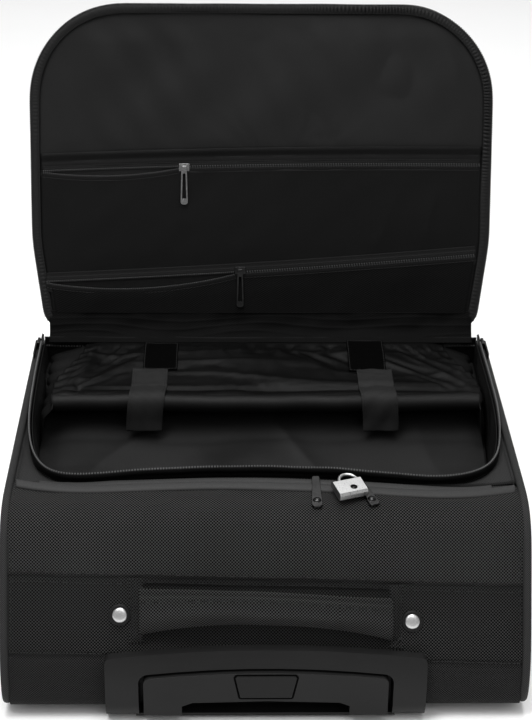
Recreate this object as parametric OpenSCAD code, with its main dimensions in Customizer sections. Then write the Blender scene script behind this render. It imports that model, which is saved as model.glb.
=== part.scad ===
// Pilot rolling flight case, lying on its back with the front panel open.
// X runs across the case, Y from the handle end to the wheel end, Z up.
// The origin is the centre of the bounding box, on the surface it lies on.

/* [Case body] */
// Width of the case
case_w = 468; // [458:1:472]
// Length from the handle end to the wheel end
case_len = 398; // [390:1:404]
// Height of the fabric back above the surface it lies on
back_gap = 10; // [8:1:12]
// Height of the closed front plane
front_z = 181; // [178:1:182]
// Thickness of the padded nylon walls
wall = 3; // [2.5:0.1:3]

/* [Front compartment] */
// Distance from the handle end to the compartment's near wall
rim_y = 118; // [116:1:122]
// Height of the standing zipper rim
rim_z = 190; // [188:1:191]
// Height of the divider at its low, near end
divider_low_z = 82; // [70:1:95]
// Height of the divider at the wheel end
divider_high_z = 112; // [100:1:118]
// Distance from the handle end to the padded pocket's rolled edge
roll_y = 280; // [262:1:290]

/* [Lid] */
// Length of the lid from its hinge
lid_len = 331; // [322:1:345]
// Width of the lid
lid_w = 474; // [466:1:480]
// Backward lean of the open lid from upright, in degrees
lid_lean = 18; // [10:1:24]
// Thickness of the lid between its lining and its outer panel
lid_depth = 26; // [20:1:30]

/* [Trolley] */
// Distance between the centres of the two tubes
tube_pitch = 180; // [176:1:184]
// Outer radius of the fixed tubes
tube_r = 11; // [10.8:0.1:11.2]
// Width of the pull grip
grip_w = 218; // [212:1:222]

/* [Wheels] */
// Radius of the tyres
wheel_r = 28; // [26:1:28]
// Width of the tyres
tyre_w = 24; // [20:1:26]

/* [Hidden] */

$fn = 48;
arc_steps = 8;          // straight steps in each rounded corner
gap = 0.3;              // clearance between pieces of different bodies
skin = 0.2;             // clearance between layers sewn together
eps = 1;                // overshoot of every cutting shape

// Case outline, seen from its side, as [y, z, corner radius]
lean_y = 62;            // how far the handle end leans back at the front plane
lean_from_z = 58;       // height where the handle end starts to lean back
case_corners = [[0, back_gap, 12], [0, lean_from_z, 90], [lean_y, front_z, 45],
    [case_len, front_z, 12], [case_len, back_gap, 30]];
lean_run = [lean_y, front_z - lean_from_z];
lean_dir = lean_run / norm(lean_run);
lean_out = [-lean_dir[1], lean_dir[0]];
lean_tilt = atan2(lean_dir[1], lean_dir[0]);   // tilt that faces a piece out of the lean

bead = 2.5;             // radius of the piping
panel_x = case_w / 2 - 4.7;    // ends of the wrap-round panels
plate_x = case_w / 2 - wall;   // inner face of the side panels
top_edge_y = rim_y - 14;       // bound front edge of the top panel
rear_chain_y = rim_y - 4.5;    // centre of the closed rear zipper
rim_x = panel_x - 0.4;         // outer face of the rim
rim_far_y = case_len - wall - 2.5;  // far wall of the compartment
rim_corners = [[-rim_x, rim_y, 45], [rim_x, rim_y, 45], [rim_x, rim_far_y, 8],
    [-rim_x, rim_far_y, 8]];
chain_h = 2;            // height of a zipper chain

// Wheel bays, cut out of the two far corners of the back
bay_x = 176;
bay_y = case_len - 58;
bay_z = 64;
axle_y = case_len - 14;
axle_r = 3;
wheel_x = 206;

// Trolley cup in the handle end
bezel_w = 286;
bezel_t = 8;            // how far the bezel stands out of the fabric
cup_w = grip_w + 9;
cup_floor = 14;         // depth of the cup behind the fabric
cup_base = 7;
cup_top = 54.5;
cup_rise = 5.5;         // how much higher the cup and the grip are in the middle
tube_z = 32;
grip_front = -9;
slot_y = [-3, 7];       // hollow behind the button, front and back

// Padded pocket
pocket_y = rim_far_y - 8;
roll_r = 7.5;
roll_z = 171.5;
pad_t = 8;
pad_far_z = 186;
pad_near_z = 175;
strap_w = 39;
strap_t = 2;
strap_x = [-116, 112];
strap_far_y = 328;
strap_drop = 38;        // how far the free ends hang
strap_pivot_y = roll_y + 7;
strap_pivot_z = roll_z + roll_r + 1.4;

// Lid
hinge_y = case_len;
hinge_z = front_z + 15;
lid_start = 3;          // the lid's cloth starts this far from the hinge line
lid_corners = [[-225, lid_start, 10], [-lid_w / 2, 90, 200], [-lid_w / 2, lid_len, 95],
    [lid_w / 2, lid_len, 95], [lid_w / 2, 90, 200], [225, lid_start, 10]];
upper_zip = [159, 172]; // distance from the hinge at the left and the right edge
lower_zip = [42, 74];
upper_slider_x = -80;
lower_slider_x = -22;
pull_len = 38;

// The bounding box runs from the grip's face to the lid's outer top edge
button_proud = 0.8;
y_min = grip_front - button_proud;
pocket_stack = lid_depth + 5.9;
y_max = hinge_y + lid_len * sin(lid_lean) + (lid_depth + wall) * cos(lid_lean);
y_mid = (y_min + y_max) / 2;

// ---------- outlines ----------
function unit(v) = v / norm(v);

// Corner i of a closed outline of [x, y, radius], moved inwards by inset
function corner_at(c, i, inset) =
    let (n = len(c), p = [c[i][0], c[i][1]],
        u = unit([c[(i + n - 1) % n][0], c[(i + n - 1) % n][1]] - p),
        v = unit([c[(i + 1) % n][0], c[(i + 1) % n][1]] - p),
        half = acos(u * v) / 2)
    [p + unit(u + v) * inset / sin(half), u, v, half, max(c[i][2] - inset, 0.5)];

// Points of the arc that rounds such a corner
function corner_arc(k) =
    let (mid = unit(k[1] + k[2]), centre = k[0] + mid * k[4] / sin(k[3]),
        a = k[0] + k[1] * k[4] / tan(k[3]) - centre,
        b = k[0] + k[2] * k[4] / tan(k[3]) - centre,
        a0 = atan2(a[1], a[0]), turn = atan2(b[1], b[0]) - a0,
        sweep = turn > 180 ? turn - 360 : turn < -180 ? turn + 360 : turn)
    [for (s = [0 : arc_steps]) centre
        + k[4] * [cos(a0 + sweep * s / arc_steps), sin(a0 + sweep * s / arc_steps)]];

function rounded(c, inset = 0) =
    [for (i = [0 : len(c) - 1]) each corner_arc(corner_at(c, i, inset))];

function lean_point(z, out) = [(z - lean_from_z) * lean_run[0] / lean_run[1], z] + out * lean_out;
function divider_top(y) = divider_low_z
    + (divider_high_z - divider_low_z) * (y - rim_y) / (rim_far_y - rim_y);
function pad_top(y) = pad_near_z + (pad_far_z - pad_near_z) * (y - roll_y) / (pocket_y - roll_y);

// A [y, z] outline extruded across the case
module across(points, x0, x1) {
    translate([x0, 0, 0]) rotate([90, 0, 90]) linear_extrude(x1 - x0) polygon(points);
}

// A box from its two corners
module block(low, high) {
    translate(low) cube(high - low);
}

module mirrored() {
    children();
    mirror([1, 0, 0]) children();
}

module place() {
    translate([0, -y_mid, 0]) children();
}

// The open lid's own frame: X across, Y away from the hinge, Z out of the lining
module on_lid() {
    translate([0, hinge_y, hinge_z]) rotate([90 - lid_lean, 0, 0]) children();
}

module case_ring(outer, inner, x0, x1) {
    difference() {
        across(rounded(case_corners, outer), x0, x1);
        across(rounded(case_corners, inner), x0 - eps, x1 + eps);
    }
}

module wheel_bays(grow = 0.3) {
    mirrored() block([bay_x - grow, bay_y - grow, -eps],
        [case_w, case_len + 10, bay_z + grow]);
}

// Top edge from right to left: it arches between two rounded corners
function arch(half, side, rise, r) = concat(
    [for (a = [0 : 18 : 90]) [half - r + r * cos(a), side - r + r * sin(a)]],
    [for (s = [-7 : 7]) [(r - half) * s / 8, side + rise * (1 - s * s / 64)]],
    [for (a = [90 : 18 : 180]) [r - half + r * cos(a), side - r + r * sin(a)]]);

module cup_outline(grow, depth0, depth1) {
    half = cup_w / 2 + grow;
    low = cup_base - grow;
    translate([0, depth1, 0]) rotate([90, 0, 0]) linear_extrude(depth1 - depth0)
        polygon(concat([[-half, low], [half, low]],
            arch(half, cup_top + grow, cup_rise, 9 + grow)));
}

// ---------- shell ----------
module back_panel() {
    color("dimgray") place() difference() {
        case_ring(0, wall, -panel_x, panel_x);
        block([-case_w, -50, 40], [case_w, case_len + 50, 300]);
        block([-case_w, -50, -eps], [case_w, 14.3, 300]);
        cup_outline(3.5, -20, cup_floor + 3.5);
        wheel_bays();
    }
}

module back_board() {
    color("tan") place() difference() {
        block([-205, 22, back_gap + wall + skin], [205, case_len - 29, back_gap + 6]);
        wheel_bays(2);
    }
}

module top_panel() {
    color("dimgray") place() difference() {
        case_ring(0, wall, -panel_x, panel_x);
        block([-case_w, top_edge_y, -eps], [case_w, case_len + 50, 300]);
        block([-case_w, 14, -eps], [case_w, case_len, 60]);
        cup_outline(3.5, -20, 30);
    }
}

module bottom_panel() {
    color("dimgray") place() difference() {
        case_ring(0, wall, -panel_x, panel_x);
        block([-case_w, -50, -eps], [case_w, case_len - 12, 300]);
        block([-case_w, -50, -eps], [case_w, case_len + 50, 40.3]);
        block([-case_w, -50, front_z - 12.5], [case_w, case_len + 50, 300]);
        wheel_bays();
    }
}

module side_panel() {
    difference() {
        across(rounded(case_corners, 2.7), plate_x, case_w / 2);
        wheel_bays();
    }
}

module side_panel_left() { color("dimgray") place() mirror([1, 0, 0]) side_panel(); }
module side_panel_right() { color("dimgray") place() side_panel(); }

module side_piping() {
    color("gray") place() difference() {
        mirrored() case_ring(-1.5, 2.5, panel_x + skin, case_w / 2 + 0.5);
        wheel_bays();
    }
}

module top_binding() {
    color("gray") place() translate([-222, top_edge_y + bead + gap, front_z - 1.5])
        rotate([0, 90, 0]) cylinder(r = bead, h = 444);
}

module rear_zipper_chain() {
    color("black") place()
        block([-220, rear_chain_y - 2, front_z - 4.2], [220, rear_chain_y + 2, front_z - 2.4]);
}

module rim_ring(outer, inner, z0, z1) {
    translate([0, 0, z0]) linear_extrude(z1 - z0) difference() {
        polygon(rounded(rim_corners, outer));
        polygon(rounded(rim_corners, inner));
    }
}

module front_gusset() {
    color("dimgray") place() rim_ring(0, wall, 150, rim_z);
}

module rim_zipper_chain() {
    color("silver") place() difference() {
        rim_ring(0.4, wall - 0.4, rim_z + 0.1, rim_z + chain_h);
        block([-case_w, rim_far_y - 12, rim_z - eps], [case_w, case_len, rim_z + 10]);
    }
}

module compartment_lining() {
    color("black") place() rim_ring(wall + 0.4, wall + 2, divider_low_z - 14, rim_z - 1.5);
}

module divider_panel() {
    y0 = rim_y + 6;
    y1 = rim_far_y - 6;
    color("black") place() intersection() {
        across([[y0, divider_top(y0) - 4], [y1, divider_top(y1) - 4],
            [y1, divider_top(y1)], [y0, divider_top(y0)]], -panel_x, panel_x);
        translate([0, 0, 1]) linear_extrude(200) polygon(rounded(rim_corners, wall + 2.4));
    }
}

module hinge_strip() {
    color("black") place()
        block([-218, rim_far_y + skin, front_z - 12], [218, case_len - wall - skin, hinge_z - 3]);
}

module bottom_feet() {
    color("black") place() mirrored() translate([140, case_len + gap, 150])
        rotate([-90, 0, 0]) cylinder(r = 14, h = axle_y + wheel_r - case_len - gap);
}

// ---------- padded pocket ----------
module pocket_panel() {
    color("black") place() {
        across([[roll_y, pad_near_z - pad_t], [pocket_y, pad_far_z - pad_t],
            [pocket_y, pad_far_z], [roll_y, pad_near_z]], -208, 208);
        translate([-208, roll_y, roll_z]) rotate([0, 90, 0]) cylinder(r = roll_r, h = 416);
    }
}

module pocket_gussets() {
    top = pad_far_z - pad_t;
    low = divider_high_z + 3;
    fold = (top - low) / 4;
    zig = [for (i = [0 : 4]) [i % 2 == 0 ? 219 : 211, top - i * fold]];
    color("black") place() mirrored() translate([0, pocket_y, 0]) rotate([90, 0, 0])
        linear_extrude(pocket_y - roll_y)
            polygon(concat(zig, [for (i = [4 : -1 : 0]) zig[i] - [2, 0]]));
}

module on_pad(x0, x1, y0, y1, low, thick) {
    across([[y0, pad_top(y0) + low], [y1, pad_top(y1) + low],
        [y1, pad_top(y1) + low + thick], [y0, pad_top(y0) + low + thick]], x0, x1);
}

module hook_patches() {
    color("black") place() {
        on_pad(-129, -93, strap_far_y + 3, pocket_y - 3, skin, 1.5);
        on_pad(87, 124, strap_far_y + 3, pocket_y - 3, skin, 1.5);
    }
}

module strap_anchors() {
    color("dimgray") place() for (x = strap_x)
        across([[strap_pivot_y + 3, strap_pivot_z - 1], [strap_far_y, pad_top(strap_far_y) + skin],
            [strap_far_y, pad_top(strap_far_y) + skin + strap_t],
            [strap_pivot_y + 3, strap_pivot_z + 1]], x - strap_w / 2, x + strap_w / 2);
}

// A strap's free end, over the rolled edge and down in front of it
module strap(x) {
    front = roll_y - roll_r - 2;
    top = strap_pivot_z + strap_t / 2;
    place() across([[strap_pivot_y, top], [front + 3, top], [front - strap_t + 1, top - 2.5],
        [front - strap_t, top - 5], [front - strap_t, top - strap_drop],
        [front, top - strap_drop],
        [front, top - 6], [front + 4, top - strap_t], [strap_pivot_y, top - strap_t]],
        x - strap_w / 2, x + strap_w / 2);
}

module strap_left() { color("dimgray") strap(strap_x[0]); }
module strap_right() { color("dimgray") strap(strap_x[1]); }

// ---------- carry handle and rivets ----------
module handle_patches() {
    color("dimgray") place() mirrored()
        across([lean_point(84, 0.3), lean_point(126, 0.3), lean_point(126, 1.5),
            lean_point(84, 1.5)], 107, 121);
}

module carry_handle() {
    color("dimgray") place()
        across([lean_point(84, 9), lean_point(118, 9), lean_point(118, 13),
            lean_point(84, 13)], -105, 105);
}

module rivets() {
    spot = lean_point(97, 0.2);
    color("silver") place() for (side = [-1, 1])
        translate([side * 129, spot[0], spot[1]]) rotate([lean_tilt, 0, 0])
            rotate_extrude() polygon([[0, 0], [6.5, 0], [6.5, 1.4], [5.6, 2.4], [0, 2.8]]);
}

// ---------- trolley ----------
// Outline of the bezel's face, with its arched top edge
module bezel_face() {
    half = bezel_w / 2;
    translate([0, 60, 0]) rotate([90, 0, 0]) linear_extrude(90)
        polygon(concat([[-half, 0], [half, 0]], arch(half, 69, 7, 5)));
}

module trolley_bezel() {
    half = bezel_w / 2;
    color("dimgray") place() {
        difference() {
            union() {
                intersection() {
                    case_ring(-bezel_t, -gap, -half, half);
                    bezel_face();
                }
                cup_outline(3, 0, cup_floor + 3);
            }
            cup_outline(0, -40, cup_floor);
            block([-cup_w / 2, -40, -eps], [cup_w / 2, 0, cup_base + eps]);
            mirrored() translate([tube_pitch / 2, 0, tube_z]) rotate([-90, 0, 0])
                cylinder(r = tube_r - 1.5, h = 40);
        }
        mirrored() block([half - 30, 32, 0], [half - 4, 58, back_gap - bezel_t]);
    }
}

module tubes(r, bore_r, y0, y1) {
    place() mirrored() translate([tube_pitch / 2, y0, tube_z]) rotate([-90, 0, 0])
        difference() {
            cylinder(r = r, h = y1 - y0);
            translate([0, 0, -eps]) cylinder(r = bore_r, h = y1 - y0 + 2 * eps);
        }
}

module outer_tubes() {
    color("silver") tubes(tube_r, tube_r - 1.4, cup_floor + 3.1, case_len - 15);
}

module mid_tubes() {
    color("silver") tubes(tube_r - 1.7, tube_r - 3, cup_floor + 0.5, case_len - 30);
}

module inner_tubes() {
    color("silver") tubes(tube_r - 3.3, tube_r - 4.5, slot_y[1] + skin, case_len - 40);
}

module grip_outline(depth0, depth1, grow = 0) {
    half = grip_w / 2 + grow;
    translate([0, depth1, 0]) rotate([90, 0, 0]) linear_extrude(depth1 - depth0)
        polygon(concat([[-half, 11], [-75, 11], [-75, 21], [-66, 25], [0, 27], [66, 25],
            [75, 21], [75, 11], [half, 11]], arch(half, cup_top - 2.5 + grow, cup_rise, 6)));
}

module button_outline(depth0, depth1, grow = 0) {
    translate([0, depth1, 0]) rotate([90, 0, 0]) linear_extrude(depth1 - depth0)
        polygon([[-23 - grow, 31 - grow], [23 + grow, 31 - grow], [27.5 + grow, 53],
            [26 + grow, 55 + grow], [-26 - grow, 55 + grow], [-27.5 - grow, 53]]);
}

module trolley_grip() {
    color("dimgray") place() difference() {
        grip_outline(grip_front, cup_floor - 2);
        button_outline(grip_front - eps, slot_y[1], gap);
        block([-tube_pitch / 2 - 4, slot_y[0], tube_z - 3],
            [tube_pitch / 2 + 4, slot_y[1], tube_z + 3]);
        mirrored() translate([tube_pitch / 2, 0, tube_z]) rotate([-90, 0, 0])
            cylinder(r = tube_r - 3.25, h = 40);
    }
}

module trolley_button() {
    color("gray") place() button_outline(y_min, slot_y[0] + 0.5);
}

module button_spring() {
    low = slot_y[0] + 0.6;
    color("silver") place() translate([0, low, 44]) rotate([-90, 0, 0]) difference() {
        cylinder(r = 4, h = slot_y[1] - low - 0.1);
        translate([0, 0, -eps]) cylinder(r = 3, h = 20);
    }
}

module lock_rods() {
    bar_y = slot_y[0] + 0.6;
    color("silver") place() {
        block([-tube_pitch / 2 - 3, bar_y, tube_z - 2], [tube_pitch / 2 + 3, bar_y + 2.5, tube_z + 2]);
        mirrored() translate([tube_pitch / 2, bar_y + 1, tube_z]) rotate([-90, 0, 0])
            cylinder(r = 2, h = case_len - 70);
    }
}

// ---------- wheels ----------
module wheel_housing() {
    difference() {
        intersection() {
            block([bay_x, bay_y, back_gap - 2], [case_w / 2, case_len + 1, bay_z]);
            across(rounded([[bay_y - 20, back_gap - 2, 4], [case_len + 1, back_gap - 2, 20],
                [case_len + 1, bay_z, 4], [bay_y - 20, bay_z, 4]]), bay_x - eps, case_w);
        }
        across(rounded([[axle_y - wheel_r - 4, -30, 2], [case_len + 40, -30, 2],
            [case_len + 40, axle_y - case_len + wheel_r + 46, 2],
            [axle_y - wheel_r - 4, axle_y - case_len + wheel_r + 46, 26]]),
            wheel_x - tyre_w / 2 - 3, wheel_x + tyre_w / 2 + 3);
        translate([0, axle_y, wheel_r]) rotate([0, 90, 0]) cylinder(r = axle_r, h = case_w);
    }
}

module wheel_housing_left() { color("black") place() mirror([1, 0, 0]) wheel_housing(); }
module wheel_housing_right() { color("black") place() wheel_housing(); }

module axles() {
    color("silver") place() mirrored() translate([bay_x + 3, axle_y, wheel_r])
        rotate([0, 90, 0]) cylinder(r = axle_r, h = case_w / 2 - bay_x - 6);
}

module wheel_ring(side, r, bore_r, half) {
    place() translate([side * wheel_x, axle_y, wheel_r]) rotate([0, 90, 0])
        rotate_extrude($fn = 64) polygon([[bore_r, -half], [r - 3, -half], [r, 3 - half],
            [r, half - 3], [r - 3, half], [bore_r, half]]);
}

module hub(side) {
    place() translate([side * wheel_x, axle_y, wheel_r]) rotate([0, 90, 0])
        rotate_extrude($fn = 64) polygon([[axle_r + 0.06, -tyre_w / 2 - 1],
            [8, -tyre_w / 2 - 1], [9, 1 - tyre_w / 2], [wheel_r - 9.05, 3 - tyre_w / 2],
            [wheel_r - 9.05, tyre_w / 2 - 3], [9, tyre_w / 2 - 1], [8, tyre_w / 2 + 1],
            [axle_r + 0.06, tyre_w / 2 + 1]]);
}

module tyre_left() { color("black") wheel_ring(-1, wheel_r, wheel_r - 9, tyre_w / 2); }
module tyre_right() { color("black") wheel_ring(1, wheel_r, wheel_r - 9, tyre_w / 2); }
module hub_left() { color("gray") hub(-1); }
module hub_right() { color("gray") hub(1); }

// ---------- lid ----------
module lid_plate(inset, low, high) {
    translate([0, 0, low]) linear_extrude(high - low) polygon(rounded(lid_corners, inset));
}

// Part of a lid layer below a line that runs from edge to edge
module below_line(ends, low, high) {
    half = lid_w / 2 + 5;
    translate([0, 0, low]) linear_extrude(high - low)
        polygon([[-half, -eps], [half, -eps], [half, ends[1]], [-half, ends[0]]]);
}

module lid_layer(inset, low, high, ends) {
    intersection() {
        lid_plate(inset, low, high);
        below_line(ends, low - eps, high + eps);
    }
}

function zip_at(ends, x) = ends[0] + (ends[1] - ends[0]) * (x / lid_w + 0.5);

module zip_line(ends, inset, low) {
    half = lid_w / 2 - inset;
    translate([0, 0, low]) linear_extrude(1.6) polygon([[-half, zip_at(ends, -half) + 1],
        [half, zip_at(ends, half) + 1], [half, zip_at(ends, half) + 5],
        [-half, zip_at(ends, -half) + 5]]);
}

module lid_board() { color("tan") place() on_lid() lid_plate(8, -4, -1.6); }
module lid_lining() { color("black") place() on_lid() lid_plate(3.4, -1.4, 0); }

module lid_pocket_panel() {
    color("black") place() on_lid() lid_layer(12, skin, 1.6, upper_zip);
}

module upper_zip_chain() { color("silver") place() on_lid() zip_line(upper_zip, 14, skin); }

module mesh_pocket() {
    color("black") place() on_lid() lid_layer(13, 1.8, 3, lower_zip);
}

module lower_zip_chain() { color("silver") place() on_lid() zip_line(lower_zip, 16, 1.8); }

module lid_edge_ring(outer, inner, low, high) {
    difference() {
        lid_plate(outer, low, high);
        lid_plate(inner, low - eps, high + eps);
    }
}

module lid_binding() {
    color("dimgray") place() on_lid() difference() {
        lid_edge_ring(2, 11.5, skin, 1.8);
        block([-210, -eps, -eps], [210, 16, 5]);
    }
}

module lid_zipper_chain() {
    color("silver") place() on_lid() difference() {
        lid_edge_ring(-1.8, -0.2, -2, 0);
        block([-case_w, -5, -5], [case_w, 20, 5]);
    }
}

module lid_gusset() {
    color("dimgray") place() on_lid() lid_edge_ring(0, wall, -lid_depth, -0.3);
}

module lid_outer_panel() {
    color("dimgray") place() on_lid() lid_plate(0, -lid_depth - wall, -lid_depth - skin);
}

module outer_pocket() {
    color("dimgray") place() on_lid() intersection() {
        lid_plate(22, -pocket_stack, -lid_depth - wall - skin);
        below_line([250, 250], -60, 0);
    }
}

// ---------- zipper sliders and pulls, each along its own zipper ----------
module pocket_slider(x, ends, low) {
    translate([x, zip_at(ends, x) + 3, low]) {
        block([-5.5, -4, 0], [5.5, 4, 1.4]);
        block([-2, -1.5, 1.3], [2, 1.5, 2.6]);
    }
}

// An open wire loop that hangs from its slider
module pocket_pull(x, ends, low) {
    translate([x, zip_at(ends, x) + 3, low + 3]) difference() {
        linear_extrude(1.6) polygon(rounded([[-3.8, -pull_len, 3], [3.8, -pull_len, 3],
            [2.8, 0.7, 2], [-2.8, 0.7, 2]]));
        translate([0, 0, -eps]) linear_extrude(4)
            polygon(rounded([[-2.2, 6 - pull_len, 1], [2.2, 6 - pull_len, 1], [1.4, -6, 0.8],
                [-1.4, -6, 0.8]]));
    }
}

module upper_slider() {
    color("dimgray") place() on_lid() pocket_slider(upper_slider_x, upper_zip, 2.1);
}

module upper_pull() {
    color("dimgray") place() on_lid() pocket_pull(upper_slider_x, upper_zip, 2.1);
}

module lower_slider() {
    color("dimgray") place() on_lid() pocket_slider(lower_slider_x, lower_zip, 3.7);
}

module lower_pull() {
    color("dimgray") place() on_lid() pocket_pull(lower_slider_x, lower_zip, 3.7);
}

rear_x = [45.6, 83];
rear_turn = [0, 20];    // how far each pull is turned from straight, in degrees
rear_pull_len = 43;
rear_pull_tilt = 5.5;

module rear_sliders() {
    color("dimgray") place() for (x = rear_x) {
        block([x - 6, rear_chain_y - 3.6, front_z - 2.1], [x + 6, rear_chain_y + 3.6, front_z + 0.5]);
        block([x - 2, rear_chain_y - 2, front_z + 0.4], [x + 2, rear_chain_y + 2, front_z + 1.6]);
    }
}

module rear_pulls() {
    color("dimgray") place() for (i = [0, 1])
        translate([rear_x[i], rear_chain_y, front_z + 4.1])
            rotate([0, 0, rear_turn[i]]) rotate([rear_pull_tilt, 0, 0]) {
            translate([0, 0, -1.3]) linear_extrude(2.6)
                polygon(rounded([[-5, -rear_pull_len, 3], [5, -rear_pull_len, 3],
                    [3.4, 0.9, 2], [-3.4, 0.9, 2]]));
            translate([0, 8 - rear_pull_len, 1.2]) rotate_extrude()
                polygon([[0, 0], [3.6, 0], [3.2, 1.2], [1.8, 2], [0, 2.2]]);
        }
}

lock_at = [75, 88];      // middle of the padlock's face
lock_turn = 20;
lock_tilt = 8;
lock_size = [27, 22.5, 8];
shackle_r = 1.6;
shackle_half = 8;
shackle_x = 3;          // how far the shackle is off the body's middle

module lock_frame() {
    place() translate([lock_at[0], lock_at[1], front_z + 8.8]) rotate([0, 0, lock_turn])
        rotate([lock_tilt, 0, 0]) children();
}

// Chamfered block with a round keyhole in its face and two holes for the shackle
module padlock_body() {
    w = lock_size[0];
    h = lock_size[1] / 2;
    t = lock_size[2] / 2;
    color("silver") lock_frame() difference() {
        translate([-w / 2, 0, 0]) rotate([90, 0, 90]) linear_extrude(w)
            polygon([[-h, 1.5 - t], [1.5 - h, -t], [h - 1.5, -t], [h, 1.5 - t], [h, t - 3],
                [h - 3.5, t], [2 - h, t], [-h, t - 2]]);
        translate([2.5, -3.5, 0]) cylinder(r = 3.2, h = 10);
        for (side = [-1, 1]) translate([shackle_x + side * shackle_half, 2, 0])
            rotate([-90, 0, 0]) cylinder(r = shackle_r + 0.1, h = h);
    }
}

module padlock_shackle() {
    h = lock_size[1] / 2;
    color("silver") lock_frame() {
        translate([shackle_x, h - 0.5, 0]) rotate_extrude(angle = 180)
            translate([shackle_half, 0]) circle(r = shackle_r, $fn = 24);
        for (side = [-1, 1]) translate([shackle_x + side * shackle_half, 3, 0])
            rotate([-90, 0, 0]) cylinder(r = shackle_r, h = h - 3.5);
    }
}

module rim_slider(side) {
    x0 = rim_x + gap;
    color("dimgray") place() scale([side, 1, 1]) {
        block([x0, rim_far_y - 24, rim_z - 7], [x0 + 3, rim_far_y - 12, rim_z + 2]);
        block([x0 + 3, rim_far_y - 46, rim_z - 5], [x0 + 5, rim_far_y - 16, rim_z + 1]);
    }
}

module rim_slider_left() { mirror([1, 0, 0]) rim_slider(1); }
module rim_slider_right() { rim_slider(1); }

back_panel();
back_board();
top_panel();
bottom_panel();
side_panel_left();
side_panel_right();
side_piping();
top_binding();
rear_zipper_chain();
front_gusset();
rim_zipper_chain();
compartment_lining();
divider_panel();
pocket_panel();
pocket_gussets();
hook_patches();
strap_anchors();
handle_patches();
rivets();
trolley_bezel();
outer_tubes();
wheel_housing_left();
wheel_housing_right();
axles();
bottom_feet();
hinge_strip();
lid_board();
lid_lining();
upper_zip_chain();
lid_pocket_panel();
mesh_pocket();
lower_zip_chain();
lid_binding();
lid_zipper_chain();
lid_gusset();
lid_outer_panel();
outer_pocket();
upper_slider();
upper_pull();
lower_slider();
lower_pull();
rear_sliders();
rear_pulls();
padlock_body();
padlock_shackle();
rim_slider_left();
rim_slider_right();
mid_tubes();
inner_tubes();
trolley_grip();
trolley_button();
button_spring();
lock_rods();
strap_left();
strap_right();
carry_handle();
tyre_left();
hub_left();
tyre_right();
hub_right();
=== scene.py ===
"""Pilot rolling flight case: cloth, trims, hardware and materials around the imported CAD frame.

Shapes are worked out in millimetres in the case's own frame: X across, Y from the handle
end of the fabric towards the wheels, Z up from the surface that the case lies on.
"""
import math

import bmesh
import bpy
import numpy as np
from mathutils import Matrix, Vector
from mathutils.bvhtree import BVHTree


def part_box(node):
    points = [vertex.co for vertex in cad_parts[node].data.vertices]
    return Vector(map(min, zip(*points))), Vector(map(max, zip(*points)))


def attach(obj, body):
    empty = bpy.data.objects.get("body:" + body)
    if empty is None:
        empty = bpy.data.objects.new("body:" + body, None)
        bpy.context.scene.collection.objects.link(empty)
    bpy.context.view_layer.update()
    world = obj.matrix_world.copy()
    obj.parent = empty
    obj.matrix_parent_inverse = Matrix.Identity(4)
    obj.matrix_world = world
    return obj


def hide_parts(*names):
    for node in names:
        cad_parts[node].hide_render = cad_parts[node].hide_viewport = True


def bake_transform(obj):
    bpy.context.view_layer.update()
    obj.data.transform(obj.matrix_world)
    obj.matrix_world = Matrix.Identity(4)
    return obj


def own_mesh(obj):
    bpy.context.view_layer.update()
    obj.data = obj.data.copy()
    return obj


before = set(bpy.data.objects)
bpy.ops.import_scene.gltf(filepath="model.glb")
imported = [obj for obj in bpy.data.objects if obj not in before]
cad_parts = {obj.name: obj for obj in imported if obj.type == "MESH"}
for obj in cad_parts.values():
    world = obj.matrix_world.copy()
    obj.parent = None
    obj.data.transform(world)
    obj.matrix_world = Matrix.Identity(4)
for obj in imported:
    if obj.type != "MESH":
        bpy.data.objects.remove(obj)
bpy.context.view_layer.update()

MM = 0.001
UV_PER_MM = 0.01        # one UV unit is 100 mm of cloth
ORIGIN_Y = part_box("top_panel")[0][1]


# ---------------------------------------------------------------- camera and stage
def place_camera():
    """The camera stands in front of the handle end, a little to its left, and looks down."""
    azimuth, elevation, roll = math.radians(1.3), math.radians(27.8), math.radians(0.67)
    forward = Vector((math.sin(azimuth) * math.cos(elevation),
                      math.cos(azimuth) * math.cos(elevation), -math.sin(elevation)))
    right = Vector((math.cos(azimuth), -math.sin(azimuth), 0))
    up = right.cross(forward)
    side = right * math.cos(roll) + up * math.sin(roll)
    top = up * math.cos(roll) - right * math.sin(roll)
    data = bpy.data.cameras.new("camera")
    data.lens = 88
    data.sensor_width = 36
    data.clip_end = 50
    camera = bpy.data.objects.new("camera", data)
    bpy.context.scene.collection.objects.link(camera)
    turn = Matrix((side, top, -forward)).transposed().to_4x4()
    camera.matrix_world = Matrix.Translation((-0.0318, ORIGIN_Y - 1.254, 1.0274)) @ turn
    bpy.context.scene.camera = camera


# ---------------------------------------------------------------- node helpers
def add_node(tree, kind, inputs=None, **settings):
    """A shader node with its settings; inputs holds values, or sockets to link from."""
    node = tree.nodes.new(kind)
    for key, value in settings.items():
        setattr(node, key, value)
    for key, value in (inputs or {}).items():
        if isinstance(value, bpy.types.NodeSocket):
            tree.links.new(value, node.inputs[key])
        else:
            node.inputs[key].default_value = value
    return node


def maths(tree, operation, a, b=0.0):
    """The result of a sum on two values or sockets."""
    return add_node(tree, "ShaderNodeMath", {0: a, 1: b}, operation=operation).outputs[0]


def noise_of(tree, vector, scale, detail=3.0):
    """A noise value of about 0 to 1 at a place."""
    return add_node(tree, "ShaderNodeTexNoise", {"Vector": vector, "Scale": scale,
                    "Detail": detail}).outputs["Fac"]


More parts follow.
